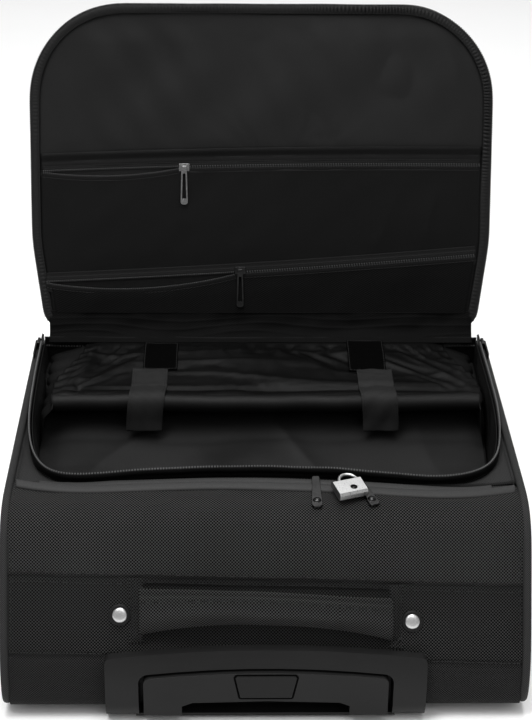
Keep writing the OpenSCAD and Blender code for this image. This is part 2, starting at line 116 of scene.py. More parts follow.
def ramp(tree, value, low, high, start=0.0, end=1.0):
    """A colour between low and high as value goes from start to end."""
    node = add_node(tree, "ShaderNodeMapRange", {"Value": value, "From Min": start,
                    "From Max": end})
    mix = add_node(tree, "ShaderNodeMix", {0: node.outputs[0]}, data_type="RGBA")
    mix.inputs[6].default_value = (*low, 1)
    mix.inputs[7].default_value = (*high, 1)
    return mix.outputs[2]


def principled(colour, height=None, depth=0.0, **values):
    """Finishes a material: colour socket, bump of a depth in mm, and plain shader values."""
    tree = colour.id_data
    shader = tree.nodes["Principled BSDF"]
    tree.links.new(colour, shader.inputs["Base Color"])
    for key, value in values.items():
        key = key.replace("_", " ").capitalize() if key not in shader.inputs else key
        if isinstance(value, bpy.types.NodeSocket):
            tree.links.new(value, shader.inputs[key])
        else:
            shader.inputs[key].default_value = value
    if height is not None:
        bump = add_node(tree, "ShaderNodeBump", {"Height": height, "Strength": 1.0,
                        "Distance": depth * MM})
        tree.links.new(bump.outputs[0], shader.inputs["Normal"])


def blank(name):
    """A new material and its node tree."""
    material = bpy.data.materials.new(name)
    material.use_nodes = True
    return material, material.node_tree


def grey(value):
    """A neutral colour."""
    return (value, value, value)


def cloth(name, low, high, pitch, depth, pattern="basket", rough=0.6, specular=0.2,
          mottle=0.3, sharp=1.0):
    """Woven cloth on the UV map: basket, twill, rib or mesh pattern of that pitch in mm."""
    material, tree = blank(name)
    uv = add_node(tree, "ShaderNodeTexCoord").outputs["UV"]
    parts = add_node(tree, "ShaderNodeSeparateXYZ", {0: uv})
    turns = 2 * math.pi / (pitch * UV_PER_MM)
    u = maths(tree, "MULTIPLY", parts.outputs[0], turns)
    v = maths(tree, "MULTIPLY", parts.outputs[1], turns)
    if pattern == "basket":
        wave = maths(tree, "MULTIPLY", maths(tree, "SINE", u), maths(tree, "SINE", v))
    elif pattern == "twill":
        wave = maths(tree, "SINE", maths(tree, "ADD", u, maths(tree, "MULTIPLY", v, 0.5)))
    elif pattern == "rib":
        wave = maths(tree, "SINE", u)
    else:
        wave = maths(tree, "MULTIPLY", maths(tree, "COSINE", u),
                     maths(tree, "COSINE", maths(tree, "ADD", v, maths(tree, "MULTIPLY", u, 0.5))))
    place = add_node(tree, "ShaderNodeTexCoord").outputs["Object"]
    broad = noise_of(tree, place, 9.0)
    grain = noise_of(tree, place, 900.0, 2.0)
    level = maths(tree, "ADD", maths(tree, "MULTIPLY", wave, 0.5), 0.5)
    shade = maths(tree, "ADD", maths(tree, "MULTIPLY", level, 1 - mottle),
                  maths(tree, "MULTIPLY", maths(tree, "ADD", maths(tree, "MULTIPLY", broad, 0.6),
                        maths(tree, "MULTIPLY", grain, 0.4)), mottle))
    height = maths(tree, "ADD", level, maths(tree, "MULTIPLY", grain, 0.35))
    gloss = maths(tree, "MULTIPLY", maths(tree, "POWER", level, sharp), specular * (1 + sharp))
    principled(ramp(tree, shade, low, high, 0.5 - 0.35 / sharp, 0.5 + 0.35 / sharp),
               height, depth, Roughness=rough, **{"Specular IOR Level": gloss})
    return material


def moulded(name, low, high, rough=0.5, grain=0.05, scale=1500.0, specular=0.5):
    """Moulded plastic or rubber: fine grain, faint flow marks and paler sharp edges, which are a
    painted highlight.
    """
    material, tree = blank(name)
    place = add_node(tree, "ShaderNodeTexCoord").outputs["Object"]
    fine = noise_of(tree, place, scale, 2.0)
    broad = noise_of(tree, place, 14.0)
    # sharp edges are made paler: a painted highlight along them
    edge = add_node(tree, "ShaderNodeNewGeometry").outputs["Pointiness"]
    edge_highlight = add_node(tree, "ShaderNodeMapRange", {"Value": edge, "From Min": 0.5,
                    "From Max": 0.62}).outputs[0]
    shade = maths(tree, "ADD", maths(tree, "MULTIPLY", broad, 0.6),
                  maths(tree, "MULTIPLY", edge_highlight, 0.5))
    roughness = maths(tree, "ADD", maths(tree, "MULTIPLY", fine, 0.12), rough - 0.06)
    principled(ramp(tree, shade, low, high, 0.2, 1.0), fine, grain,
               Roughness=roughness, **{"Specular IOR Level": specular})
    return material


def metal(name, low, high, rough=0.3, stretch=(1, 1, 1), scratch=0.02):
    """Brushed or plated metal; stretch draws its scratches out along an axis."""
    material, tree = blank(name)
    place = add_node(tree, "ShaderNodeTexCoord").outputs["Object"]
    drawn = add_node(tree, "ShaderNodeMapping", {"Vector": place, "Scale": stretch}).outputs[0]
    lines = noise_of(tree, drawn, 700.0, 4.0)
    broad = noise_of(tree, place, 60.0)
    shade = maths(tree, "ADD", maths(tree, "MULTIPLY", lines, 0.5),
                  maths(tree, "MULTIPLY", broad, 0.5))
    roughness = maths(tree, "ADD", maths(tree, "MULTIPLY", lines, 0.25), rough - 0.12)
    principled(ramp(tree, shade, low, high, 0.3, 0.7), lines, scratch,
               Metallic=1.0, Roughness=roughness)
    return material


# darkest and lightest grey, thread pitch and relief in mm, then cloth()'s other values
CLOTHS = {
    "nylon": (0.0, 0.034, 2.9, 1.1, "basket", 0.42, 0.09, 0.12, 2.4),
    # the next row is the same nylon made darker: painted shade for the steeper middle panel of the
    # handle end
    "nylon_mid": (0.0, 0.026, 2.9, 1.1, "basket", 0.45, 0.05, 0.12, 2.4),
    "nylon_low": (0.0, 0.022, 2.4, 0.7, "basket", 0.5, 0.06, 0.3, 2.0),
    "nylon_fine": (0.008, 0.03, 2.0, 0.4, "basket", 0.5, 0.08, 0.3, 1.4),
    "nylon_trim": (0.012, 0.026, 1.6, 0.2, "rib", 0.6, 0.12),
    # the next row is paler than the trim nylon: painted light on the lit rolled edges
    "binding": (0.02, 0.034, 0.9, 0.06, "twill", 0.5, 0.1),
    "lining": (0.003, 0.008, 0.6, 0.04, "twill", 0.42, 0.13),
    "lining_pad": (0.0, 0.003, 0.6, 0.04, "twill", 0.46, 0.085),
    # the next row is the pocket's lining made paler for its roll: painted light
    "roll": (0.002, 0.006, 0.6, 0.04, "twill", 0.48, 0.11),
    "lining_low": (0.004, 0.01, 0.6, 0.04, "twill", 0.5, 0.09),
    "lining_dark": (0.001, 0.003, 0.6, 0.04, "twill", 0.48, 0.08),
    "mesh": (0.0, 0.007, 2.2, 0.4, "mesh", 0.6, 0.02),
    "webbing": (0.009, 0.017, 1.1, 0.15, "rib", 0.6, 0.1),
    "strap": (0.0, 0.03, 2.9, 1.2, "basket", 0.36, 0.13, 0.12, 2.4),
    "edge_tape": (0.003, 0.011, 1.2, 0.12, "twill", 0.5, 0.08),
    "tape": (0.002, 0.006, 1.2, 0.12, "twill", 0.6, 0.08),
    "hook_tape": (0.0, 0.002, 1.3, 0.6, "basket", 0.9, 0.02),
}
# darkest and lightest grey, then moulded()'s other values
MOULDED = {
    "zip_teeth": (0.03, 0.12, 0.4, 0.02, 1500.0, 0.25),
    "thread": (0.008, 0.02, 0.7, 0.05, 1500.0, 0.1),
    "coil": (0.006, 0.02, 0.4, 0.02, 1500.0, 0.3),
    "moulding": (0.005, 0.012, 0.48, 0.04, 1500.0, 0.16),
    "button": (0.004, 0.008, 0.45, 0.03, 1500.0, 0.14),
    "board": (0.05, 0.08, 0.8, 0.1, 300.0),
    "tyre": (0.01, 0.02, 0.75, 0.12, 700.0, 0.2),
}
# darkest and lightest grey, then metal()'s other values
METALS = {
    "zip_metal": (0.14, 0.26, 0.24, (1, 1, 1), 0.004),
    "black_metal": (0.012, 0.045, 0.2, (1, 1, 1), 0.004),
    "tube": (0.5, 0.7, 0.3, (6, 0.4, 6)),
    "steel": (0.4, 0.6, 0.35),
    "nickel": (0.4, 0.6, 0.35, (1, 5, 1), 0.03),
    "chrome": (0.3, 0.42, 0.3, (1, 1, 1), 0.005),
}


def make_materials():
    """Every finish, by name."""
    found = {}
    for maker, table in ((cloth, CLOTHS), (moulded, MOULDED), (metal, METALS)):
        for name, (low, high, *values) in table.items():
            found[name] = maker(name, grey(low), grey(high), *values)
    return found


# ---------------------------------------------------------------- mesh helpers
def sway(u, v, seed, size, count=5):
    """A smooth random surface of about -1 to 1: waves about size long in each direction."""
    rng = np.random.default_rng(seed)
    total = np.zeros(np.broadcast(u, v).shape)
    for k in range(count):
        angle = rng.uniform(0, math.pi)
        length = size * rng.uniform(0.6, 1.6)
        phase = rng.uniform(0, 2 * math.pi)
        total = total + np.sin(2 * math.pi * (u * math.cos(angle) + v * math.sin(angle))
                               / length + phase)
    return total / math.sqrt(count)


def crease(u, v, angle, pitch, seed):
    """Sharp-crested folds that run along angle (radians), pitch apart, bent by a slow sway."""
    across = -u * math.sin(angle) + v * math.cos(angle) + 0.35 * pitch * sway(u, v, seed, 3 * pitch)
    return (1 - np.abs(np.sin(math.pi * across / pitch))) ** 2


def step_lengths(points):
    """Arc length from the first point to each of the others."""
    return np.concatenate([[0], np.cumsum(np.linalg.norm(np.diff(points, axis=0), axis=1))])


def resample(points, count):
    """A smooth curve through points, as count evenly spaced points."""
    points = np.asarray(points, float)
    t = step_lengths(points)
    for _ in range(4):
        fine = np.linspace(0, t[-1], max(len(points) * 2, 8))
        points = np.column_stack([np.interp(fine, t, points[:, k]) for k in range(points.shape[1])])
        inner = (points[:-2] + 2 * points[1:-1] + points[2:]) / 4
        points = np.vstack([points[:1], inner, points[-1:]])
        t = step_lengths(points)
    fine = np.linspace(0, t[-1], count)
    return np.column_stack([np.interp(fine, t, points[:, k]) for k in range(points.shape[1])])


def grid_of(x, y, z):
    """A grid of points from coordinates that broadcast together."""
    return np.dstack(np.broadcast_arrays(x, y, z))


def local(point):
    """A point of the frame, given in metres, in mm of the case."""
    return np.array(point) / MM - np.array([0, ORIGIN_Y / MM, 0])


def grid_normals(p):
    """Unit normals of a grid of points."""
    du = np.gradient(p, axis=0)
    dv = np.gradient(p, axis=1)
    n = np.cross(du, dv)
    return n / np.maximum(np.linalg.norm(n, axis=2, keepdims=True), 1e-9)


def grid_uv(p):
    """Cloth coordinates of a grid, from the mean arc length each way."""
    u = np.linalg.norm(np.diff(p, axis=0), axis=2).mean(axis=1)
    v = np.linalg.norm(np.diff(p, axis=1), axis=2)
    rows = np.concatenate([[0], np.cumsum(u)])
    columns = np.concatenate([np.zeros((len(p), 1)), np.cumsum(v, axis=1)], axis=1)
    columns -= columns[:, columns.shape[1] // 2][:, None]
    return np.dstack([np.broadcast_to(rows[:, None], columns.shape), columns])


def build(name, vertices, faces, material, uv=None, smooth=True):
    """A mesh object from points in millimetres of the case's frame."""
    mesh = bpy.data.meshes.new(name)
    place = np.asarray(vertices, float) * MM + np.array([0, ORIGIN_Y, 0])
    mesh.from_pydata(place.tolist(), [], [tuple(int(i) for i in f) for f in faces])
    mesh.materials.append(material)
    layer = mesh.uv_layers.new(name="cloth")
    if uv is None:
        uv = np.asarray(vertices, float)[:, :2]
    corners = np.empty(len(mesh.loops), int)
    mesh.loops.foreach_get("vertex_index", corners)
    layer.data.foreach_set("uv", (np.asarray(uv)[corners] * UV_PER_MM).astype(np.float32).ravel())
    mesh.polygons.foreach_set("use_smooth", [smooth] * len(mesh.polygons))
    mesh.update()
    piece = bpy.data.objects.new(name, mesh)
    bpy.context.scene.collection.objects.link(piece)
    return piece


def grid_faces(rows, columns, flip=False, wrap=False):
    """Quads of a grid of points; wrap joins its last column to the first."""
    faces = []
    for i in range(rows - 1):
        for j in range(columns if wrap else columns - 1):
            k = (j + 1) % columns
            quad = [i * columns + j, (i + 1) * columns + j, (i + 1) * columns + k, i * columns + k]
            faces.append(quad[::-1] if flip else quad)
    return faces


def end_faces(rows, columns, closed=False):
    """What finishes a tube of rows of points: a join back to its start, or a cap at each end."""
    last = (rows - 1) * columns
    if closed:
        return [[last + j, j, (j + 1) % columns, last + (j + 1) % columns] for j in range(columns)]
    return [list(range(columns)), [last + j for j in range(columns)][::-1]]


def sheet(name, p, material, thick=1.0, keep=None):
    """A sheet of cloth of that thickness; p is its outer face, with the thickness behind it.

    keep(i, j) may leave quads of the grid out, and the cut edges are closed too."""
    rows, columns = p.shape[:2]
    back = p - grid_normals(p) * thick
    uv = grid_uv(p)
    count = rows * columns
    faces, edges = [], {}
    for i in range(rows - 1):
        for j in range(columns - 1):
            if keep is not None and not keep(i, j):
                continue
            a, b, c, d = (i * columns + j, (i + 1) * columns + j,
                          (i + 1) * columns + j + 1, i * columns + j + 1)
            faces += [[a, b, c, d], [d + count, c + count, b + count, a + count]]
            for s, e in ((a, b), (b, c), (c, d), (d, a)):
                if (e, s) in edges:
                    del edges[(e, s)]
                else:
                    edges[(s, e)] = True
    faces += [[e, s, s + count, e + count] for s, e in edges]
    vertices = np.concatenate([p.reshape(-1, 3), back.reshape(-1, 3)])
    used = sorted({i for f in faces for i in f})
    index = {old: new for new, old in enumerate(used)}
    both = np.concatenate([uv.reshape(-1, 2), uv.reshape(-1, 2)])
    return build(name, vertices[used], [[index[i] for i in f] for f in faces], material, both[used])


def sweep(name, path, across, out, section, material, closed=False):
    """A section of [across, out] points swept along a path; it is capped unless it closes."""
    path = np.asarray(path, float)
    section = np.asarray(section, float)
    across = np.broadcast_to(np.asarray(across, float), path.shape)
    out = np.broadcast_to(np.asarray(out, float), path.shape)
    p = (path[:, None] + across[:, None] * section[None, :, :1]
         + out[:, None] * section[None, :, 1:])
    rows, columns = p.shape[:2]
    length = step_lengths(path)
    girth = step_lengths(np.vstack([section, section[:1]]))[:-1]
    uv = np.dstack([np.broadcast_to(length[:, None], (rows, columns)),
                    np.broadcast_to(girth[None], (rows, columns))])
    faces = grid_faces(rows, columns, wrap=True) + end_faces(rows, columns, closed)
    piece = build(name, p.reshape(-1, 3), faces, material, uv.reshape(-1, 2))
    fix_normals(piece)
    return piece


def fix_normals(piece):
    """Turns every face of a closed mesh outwards."""
    work = bmesh.new()
    work.from_mesh(piece.data)
    bmesh.ops.recalc_face_normals(work, faces=work.faces)
    work.to_mesh(piece.data)
    work.free()


def oval(width, height, count=12, power=1.0):
    """An oval section; a power below 1 squares it off."""
    angle = np.linspace(0, 2 * math.pi, count, endpoint=False)
    c, s = np.cos(angle), np.sin(angle)
    return np.column_stack([np.sign(c) * np.abs(c) ** power * width / 2,
                            np.sign(s) * np.abs(s) ** power * height / 2])


def along(path, out, spacing):
    """Evenly spaced points on a path, with its direction and its outward vector at each."""
    path = np.asarray(path, float)
    out = np.broadcast_to(np.asarray(out, float), path.shape)
    t = step_lengths(path)
    spots = np.arange(spacing / 2, t[-1], spacing)

    def at(values, where):
        return np.column_stack([np.interp(where, t, values[:, k]) for k in range(3)])

    direction = at(path, spots + 0.5) - at(path, spots - 0.5)
    direction /= np.maximum(np.linalg.norm(direction, axis=1, keepdims=True), 1e-9)
    return at(path, spots), direction, at(out, spots)


def beads(name, path, out, spacing, size, material, slant=0.0):
    """Small chamfered blocks in a row along a path: zipper teeth or stitches.

    size is (along, across, out) in mm, and out the direction they stand up in."""
    at, direction, out = along(path, out, spacing)
    side = np.cross(out, direction)
    side /= np.linalg.norm(side, axis=1, keepdims=True)
    direction = direction * math.cos(slant) + side * math.sin(slant)
    side = np.cross(out, direction)
    ring = np.array([(-1, -0.6), (-0.6, -1), (0.6, -1), (1, -0.6), (1, 0.6), (0.6, 1),
                     (-0.6, 1), (-1, 0.6)])
    corners = len(ring)
    vertices, faces = [], []
    for level, grow in ((0.0, 1.0), (0.6, 1.0), (1.0, 0.55)):
        vertices.append(at[:, None] + direction[:, None] * ring[None, :, :1] * size[0] / 2 * grow
                        + side[:, None] * ring[None, :, 1:] * size[1] / 2 * grow
                        + out[:, None] * level * size[2])
    block = np.stack(vertices, axis=1).reshape(-1, 3)
    for k in range(len(at)):
        low, middle, top = (3 * k * corners + level * corners for level in range(3))
        for start in (low, middle):
            for j in range(corners):
                n = (j + 1) % corners
                faces.append([start + j, start + n, start + corners + n, start + corners + j])
        faces += [[top + j for j in range(corners)], [low + j for j in range(corners)][::-1]]
    return build(name, block, faces, material, smooth=False)


def ride(piece, body, slot, *nodes):
    """Hangs a piece on its body and hides the CAD nodes it stands for; its slot is not used."""
    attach(piece, body)
    if nodes:
        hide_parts(*nodes)
    return piece


def lay(piece, body, slot, flat, held, on, *nodes, area=None):
    """A sheet that rides on a body; its flat size in metres, how it is held and on what are not
    used.
    """
    ride(piece, body, slot, *nodes)


def sew(mat, name, path, out, spacing, size, body="case"):
    """A row of stitches that rides on a body."""
    ride(beads(name, path, out, spacing, size, mat["thread"]), body, "nylon_trim")


# ---------------------------------------------------------------- sizes, as in the CAD model
CASE_W = 468.0
CASE_LEN = 398.0
BACK_Z = 10.0
FRONT_Z = 181.0
LEAN_FROM = 58.0
LEAN_Y = 62.0
PANEL_X = CASE_W / 2 - 4.7
RIM_TOP = 191.5
HINGE_Z = 196.0
LID_LEN = 331.0
LID_W = 474.0
LEAN = math.radians(18)
LID_DEPTH = 29.0
PAD_HALF = 218.0
ROLL_Y = 280.0
ROLL_Z = 171.5
ROLL_R = 7.5
PAD_FAR_Y = 384.5
SETTLE_FRAMES = 20
HANDLE_X = 110.0
HANDLE_FADE = 46.0      # length of the strap's two end pieces
STRAP_HALF = 17.8
TROLLEY_CUP = (122, 57)     # half its width and the height of its top edge
WHEEL_X, WHEEL_Y, WHEEL_Z = 206.0, 384.0, 28.0
TYRE_R = 27.9
TYRE_HALF = 12.0
TYRE_BORE = 19.3
LID_PIPING_N = -27.2        # the lid's outer edge, below the plane of its lining
RIM_POINTS = 420
TUCK = 4.5              # how far the rim's near wall leans in below its zipper
LEAN_OUT = np.array([0, LEAN_FROM - FRONT_Z, LEAN_Y]) / math.hypot(LEAN_Y, FRONT_Z - LEAN_FROM)
LID_OUT = np.array([0, -math.cos(LEAN), math.sin(LEAN)])
SIDES = ((-1, "left"), (1, "right"))
SEAM_HIGH = 126.0       # heights of the two seams across the handle end
SEAM_LOW = 62.5
SAG = -0.022            # the soft handle end hangs lower towards its right side
CASE_CORNERS = [(0, BACK_Z, 12), (0, LEAN_FROM, 90), (LEAN_Y, FRONT_Z, 45),
                (CASE_LEN, FRONT_Z, 12), (CASE_LEN, BACK_Z, 30)]
LID_CORNERS = [(-225, 3, 10), (-LID_W / 2, 90, 200), (-LID_W / 2, LID_LEN, 95),
               (LID_W / 2, LID_LEN, 95), (LID_W / 2, 90, 200), (225, 3, 10)]
UPPER_ZIP = (160.5, 169.5, 3.2)     # distance from the hinge at the lid's left and right edge,
LOWER_ZIP = (46.0, 77.0, -3.0)      # and how much more than that in the middle
UPPER_OPEN = (-84.0, -222.0, 6.0)   # where each zipper is open, and how far its lower side sags
LOWER_OPEN = (-26.0, -222.0, 10.0)


def rounded(corners, inset=0.0, steps=8):
    """The CAD model's outline: corners as (x, y, radius), moved inwards by inset."""
    points = []
    count = len(corners)
    for i in range(count):
        p = np.array(corners[i][:2], float)
        u = np.array(corners[i - 1][:2], float) - p
        v = np.array(corners[(i + 1) % count][:2], float) - p
        u, v = u / np.linalg.norm(u), v / np.linalg.norm(v)
        half = math.acos(float(u @ v)) / 2
        radius = max(corners[i][2] - inset, 0.5)
        middle = (u + v) / np.linalg.norm(u + v)
        p = p + middle * inset / math.sin(half)
        centre = p + middle * radius / math.sin(half)
        a = p + u * radius / math.tan(half) - centre
        b = p + v * radius / math.tan(half) - centre
        start = math.atan2(a[1], a[0])
        turn = (math.atan2(b[1], b[0]) - start + math.pi) % (2 * math.pi) - math.pi
        for s in range(steps + 1):
            angle = start + turn * s / steps
            points.append(centre + radius * np.array([math.cos(angle), math.sin(angle)]))
    return np.array(points)


def lean_y(z):
    """The handle end's face at that height."""
    return (z - LEAN_FROM) * LEAN_Y / (FRONT_Z - LEAN_FROM)


def on_lid(x, s, n):
    """Points of the open lid: across, away from the hinge, and out of the lining."""
    x, s, n = np.broadcast_arrays(np.asarray(x, float), s, n)
    return np.stack([x, CASE_LEN + s * math.sin(LEAN) - n * math.cos(LEAN),
                     HINGE_Z + s * math.cos(LEAN) + n * math.sin(LEAN)], axis=-1)


def span(outline, values, axis):
    """Lowest and highest other coordinate of a convex outline at values of one coordinate."""
    a, b = outline, np.roll(outline, -1, axis=0)
    low, high = [], []
    for value in values:
        hit = ((a[:, axis] - value) * (b[:, axis] - value) <= 0) & (a[:, axis] != b[:, axis])
        f = (value - a[hit, axis]) / (b[hit, axis] - a[hit, axis])
        other = a[hit, 1 - axis] + f * (b[hit, 1 - axis] - a[hit, 1 - axis])
        low.append(other.min())
        high.append(other.max())
    return np.array(low), np.array(high)


def bump(x, middle, width):
    """A smooth hump of height 1 at middle."""
    return np.exp(-((x - middle) / width) ** 2)


def smooth(x, start, end):
    """A smooth step from 0 at start to 1 at end."""
    t = np.clip((x - start) / (end - start), 0, 1)
    return t * t * (3 - 2 * t)


def frame_of(path):
    """Outward normals of a (y, z) path that runs up the handle end and over the top."""
    t = np.gradient(path, axis=0)
    t /= np.linalg.norm(t, axis=1, keepdims=True)
    return np.column_stack([-t[:, 1], t[:, 0]])


def wrapped(path, xs, push):
    """A grid over a (y, z) path and across xs, pushed out by push(x, y, z) mm."""
    out = frame_of(path)
    x = xs[:, None]
    y, z = path[None, :, 0], path[None, :, 1]
    lift = push(x, y, z)
    return grid_of(x, y + out[None, :, 0] * lift, z + out[None, :, 1] * lift)


# ---------------------------------------------------------------- the case's shell
def near_push(x, y, z):
    """How far the padded handle end swells from its plain shape: seams pull it in."""
    lean = smooth(z, 20, 40) * (1 - smooth(y, 60, 90))
    z = z - SAG * x * lean
    seams = -1.8 * (bump(z, SEAM_HIGH, 2.0) + bump(z, SEAM_LOW, 2.0)) * (y < 60)
    swell = 1.2 * lean * np.sin(math.pi * np.clip((z - SEAM_LOW) / (SEAM_HIGH - SEAM_LOW), 0, 1))
    folds = 0.7 * lean * sway(x, 2.5 * z, 3, 130) \
        + 0.5 * crease(x, z, 1.2, 60, 5) * (z > SEAM_HIGH)
    pinch = 0.8 * bump(z, SEAM_HIGH + 6, 8) * np.sin(x / 7.5 + sway(x, z, 8, 60)) * lean
    top = 1.5 * bump(x, -60, 100) * smooth(y, 80, 100) * (z > 150)
    dents = lean * (2.0 * bump(np.hypot(x + 150, (z - 108) * 1.3), 0, 13)
                    - 1.6 * bump(np.hypot(x - 158, z - 92), 0, 18))
    dents = dents - 3.0 * lean * smooth(112 - np.abs(x), 0, 7) * smooth(z, 66, 76) \
        * smooth(SEAM_HIGH - 1 - z, 0, 5)
    ends = smooth(CASE_W / 2 - np.abs(x), 5, 22)
    return seams + (swell + folds + 0.5 * pinch + dents) * ends + top


def near_edge(xs):
    """The bound edge of the shell above the rear zipper: it bows a little away."""
    line = resample([(-240, 118), (-222, 110), (-203, 104.5), (-176, 101.5), (-118, 103.5),
                     (-59, 106.5), (0, 106.5), (40, 104.7), (104, 99.6), (136, 94.5), (166, 92.7),
                     (194, 95), (219, 101), (240, 108)], 60)
    y = np.interp(xs, line[:, 0], line[:, 1])
    z = FRONT_Z + 1.5 * bump(xs, -60, 100) - 0.3
    return np.column_stack([xs, y, z])


def make_shell(mat):
    """The nylon of the handle end and of the back."""
    profile = rounded(CASE_CORNERS)
    count = len(profile) // len(CASE_CORNERS)
    near = resample(np.vstack([[16, BACK_Z], profile[:3 * count], [104, FRONT_Z]]), 150)
    xs = np.linspace(-PANEL_X, PANEL_X, 230)
    grid = wrapped(near, xs, near_push)
    stretch = (near_edge(xs)[:, 1] - 104)[:, None] * smooth(near[None, :, 0], 62, 104)
    grid[:, :, 1] += stretch
    cup = (np.abs(xs) < TROLLEY_CUP[0])[:, None] \
        & ((near[:, 1] < TROLLEY_CUP[1]) & (near[:, 0] < 20))[None]
    low = grid[:, :, 2] < SEAM_LOW + SAG * xs[:, None] + 1.2
    for name, material, part, nodes, flat, area in (
            ("handle_end_nylon", "nylon", ~low, ("top_panel",), (0.459, 0.19), 0.083),
            ("handle_end_base", "nylon_low", low, (), (0.459, 0.06), 0.018)):
        shell = sheet(name, grid, mat[material], 1.6,
                      keep=lambda i, j, part=part: part[i, j] and not cup[i, j])
        lay(shell, "case", "nylon", flat, "stretched", "back_board", *nodes, area=area)

    rest = resample(np.vstack([[386, FRONT_Z], profile[3 * count:], [15, BACK_Z]]), 190)
    xs = np.linspace(-PANEL_X, PANEL_X, 150)
    grid = wrapped(rest, xs, lambda x, y, z: 0.8 * sway(x, y + z, 11, 150)
                   * smooth(CASE_W / 2 - np.abs(x), 5, 30) * (z > 60) - 0.3)
    bay = ((np.abs(xs) > 175.5)[:, None] & ((rest[:, 0] > 339.5) & (rest[:, 1] < 64.5))[None])
    shell = sheet("back_nylon", grid, mat["nylon"], 1.6,
                  keep=lambda i, j: not (bay[i, j] or bay[i + 1, j + 1]))
    lay(shell, "case", "nylon", (0.459, 0.565), "stretched", "back_board", "back_panel",
        "bottom_panel", area=0.248)


def make_sides(mat):
    """The nylon of the two sides, cut out for the wheel bays."""
    for side, word in SIDES:
        ys = np.concatenate([np.linspace(2.2, 339.6, 120), np.linspace(342, 395.8, 24)])
        low, high = span(rounded(CASE_CORNERS, 2.0), ys, 0)
        split = np.clip(64.4, low + 0.3 * (high - low), low + 0.7 * (high - low))
        f = np.linspace(0, 1, 22)
        z = np.concatenate([low + (split - low) * f[:, None], split + (high - split)
                            * np.linspace(0, 1, 40)[1:, None]]).T
        y = np.broadcast_to(ys[:, None], z.shape)
        edge = np.minimum(np.minimum(y, CASE_LEN - y), np.minimum(z - 10, 181 - z))
        x = (232.6 + 1.6 * smooth(edge, 2, 30) + 0.8 * sway(y, z, 17 + side, 120)
             * smooth(edge, 5, 40) + 0.6 * crease(y, z, 0.2, 75, 19) * smooth(edge, 5, 40))
        grid = np.stack([side * x, y, z], axis=-1)
        bays = (y > 339) & (z < 64)
        if side < 0:
            grid, bays = grid.transpose(1, 0, 2), bays.T
        panel = sheet("side_nylon_" + word, grid, mat["nylon"], 1.6,
                      keep=lambda i, j, b=bays: not (b[i, j] and b[i + 1, j + 1]))
        lay(panel, "case", "nylon", (0.396, 0.171), "stretched", "back_board",
            "side_panel_" + word, area=0.058)


def make_piping(mat):
    """The piping round the two sides, with its row of stitches."""
    ring = rounded(CASE_CORNERS, -0.2)
    bay = (ring[:, 0] > 340) & (ring[:, 1] < 64)
    start = int(np.argmax(bay))
    ring = np.roll(ring, -start - int(bay.sum()), axis=0)[:len(ring) - int(bay.sum())]
    ring = resample(np.vstack([[398.2, 64.6], ring[::-1], [339.4, 9.8]])[::-1], 420)
    out = frame_of(ring)
    normal = np.column_stack([np.zeros(len(ring)), out])
    for side, word, nodes in ((-1, "left", ("side_piping",)), (1, "right", ())):
        path = np.column_stack([np.full(len(ring), side * 232.3), ring])
        cord = sweep("piping_" + word, path, (1, 0, 0), normal, oval(7.4, 5.0, 14),
                     mat["nylon_fine"])
        ride(cord, "case", "nylon_trim", *nodes)
        sew(mat, cord.name + "_stitch", path - np.array([side * 6.2, 0, 0]) - normal * 0.2,
            normal, 4.4, (2.9, 0.7, 0.5))


def paint_middle_panel(mat):
    """The panel between the two seams of the handle end takes a darker copy of the nylon: painted
    shade, as this steeper face gets less light.
    """
    data = bpy.data.objects["handle_end_nylon"].data
    # the second finish is the darker copy of the nylon, painted shade
    data.materials.append(mat["nylon_mid"])
    for face in data.polygons:
        x, y, z = face.center / MM
        if y < ORIGIN_Y / MM + LEAN_FROM + 2 and z < SEAM_HIGH + SAG * x:
            face.material_index = 1


def make_top_edge(mat):
    """The bound edge of the handle end's nylon, and the closed zipper in the gap behind it."""
    xs = np.linspace(-226, 226, 300)
    edge = near_edge(xs)
    edge[:, 2] += 0.4 * sway(xs, xs * 0, 23, 90)
    # the rolled binding takes the paler cloth: painted light along its top
    band = sweep("top_binding_roll", edge + np.array([0, -4.4, 1.0]), (0, 1, 0.12), (0, 0, 1),
                 oval(10.6, 5.0, 18, 0.9), mat["binding"])
    ride(band, "case", "nylon_trim", "top_binding")
    xs = np.linspace(-206, 206, 200)
    rim = rim_path(400)
    rim = rim[(np.abs(rim[:, 0]) < 210) & (rim[:, 1] < 140)]
    limit = np.interp(xs, rim[:, 0], rim[:, 1]) - 5.6
    back = np.minimum(near_edge(xs)[:, 1] + 7.6, limit)
    height = 179.8 + 0.9 * bump(xs, -20, 90) - 2 * smooth(np.abs(xs), 130, 200)
    rise = np.column_stack([xs, back, height])
    # the flap takes the paler binding cloth too: painted light on a flap that lies in shade
    flap = sweep("rear_zipper_flap", rise, (0, 1, 0), (0, 0, 1), oval(9.6, 5.0, 16, 0.9),
                 mat["binding"])
    ride(flap, "case", "nylon_trim")
    xs = np.linspace(-221, 221, 240)
    across = np.linspace(-1, 1, 12)
    base = near_edge(xs)[:, 1]
    y = base[:, None] * 0.35 + 0.65 * 108 + 5.4 + across * 6.5
    z = 177.4 - 1.2 * across ** 2 + 0.2 * sway(xs[:, None], across * 5, 29, 40)
    lay(sheet("rear_zipper_tape", grid_of(xs[:, None], y, z), mat["tape"], 0.8), "case",
        "nylon_trim", (0.442, 0.014), "stretched", "top_binding_tape")
    row = np.column_stack([xs, base * 0.5 + 58.0, np.full(len(xs), 177.6)])
    teeth = beads("rear_zipper_teeth", row, (0, 0, 1), 2.2, (1.3, 4.0, 1.2), mat["coil"],
                  slant=0.1)
    ride(teeth, "case", "zip_teeth", "rear_zipper_chain")


def stitch_row(name, xs, height, mat):
    """A row of stitches on the handle end's face."""
    zs = height + SAG * xs
    y = lean_y(zs) + near_push(xs, lean_y(zs), zs) * LEAN_OUT[1]
    sew(mat, name, np.column_stack([xs, y, zs]) + LEAN_OUT * 0.4, LEAN_OUT, 4.0, (2.7, 0.8, 0.6))


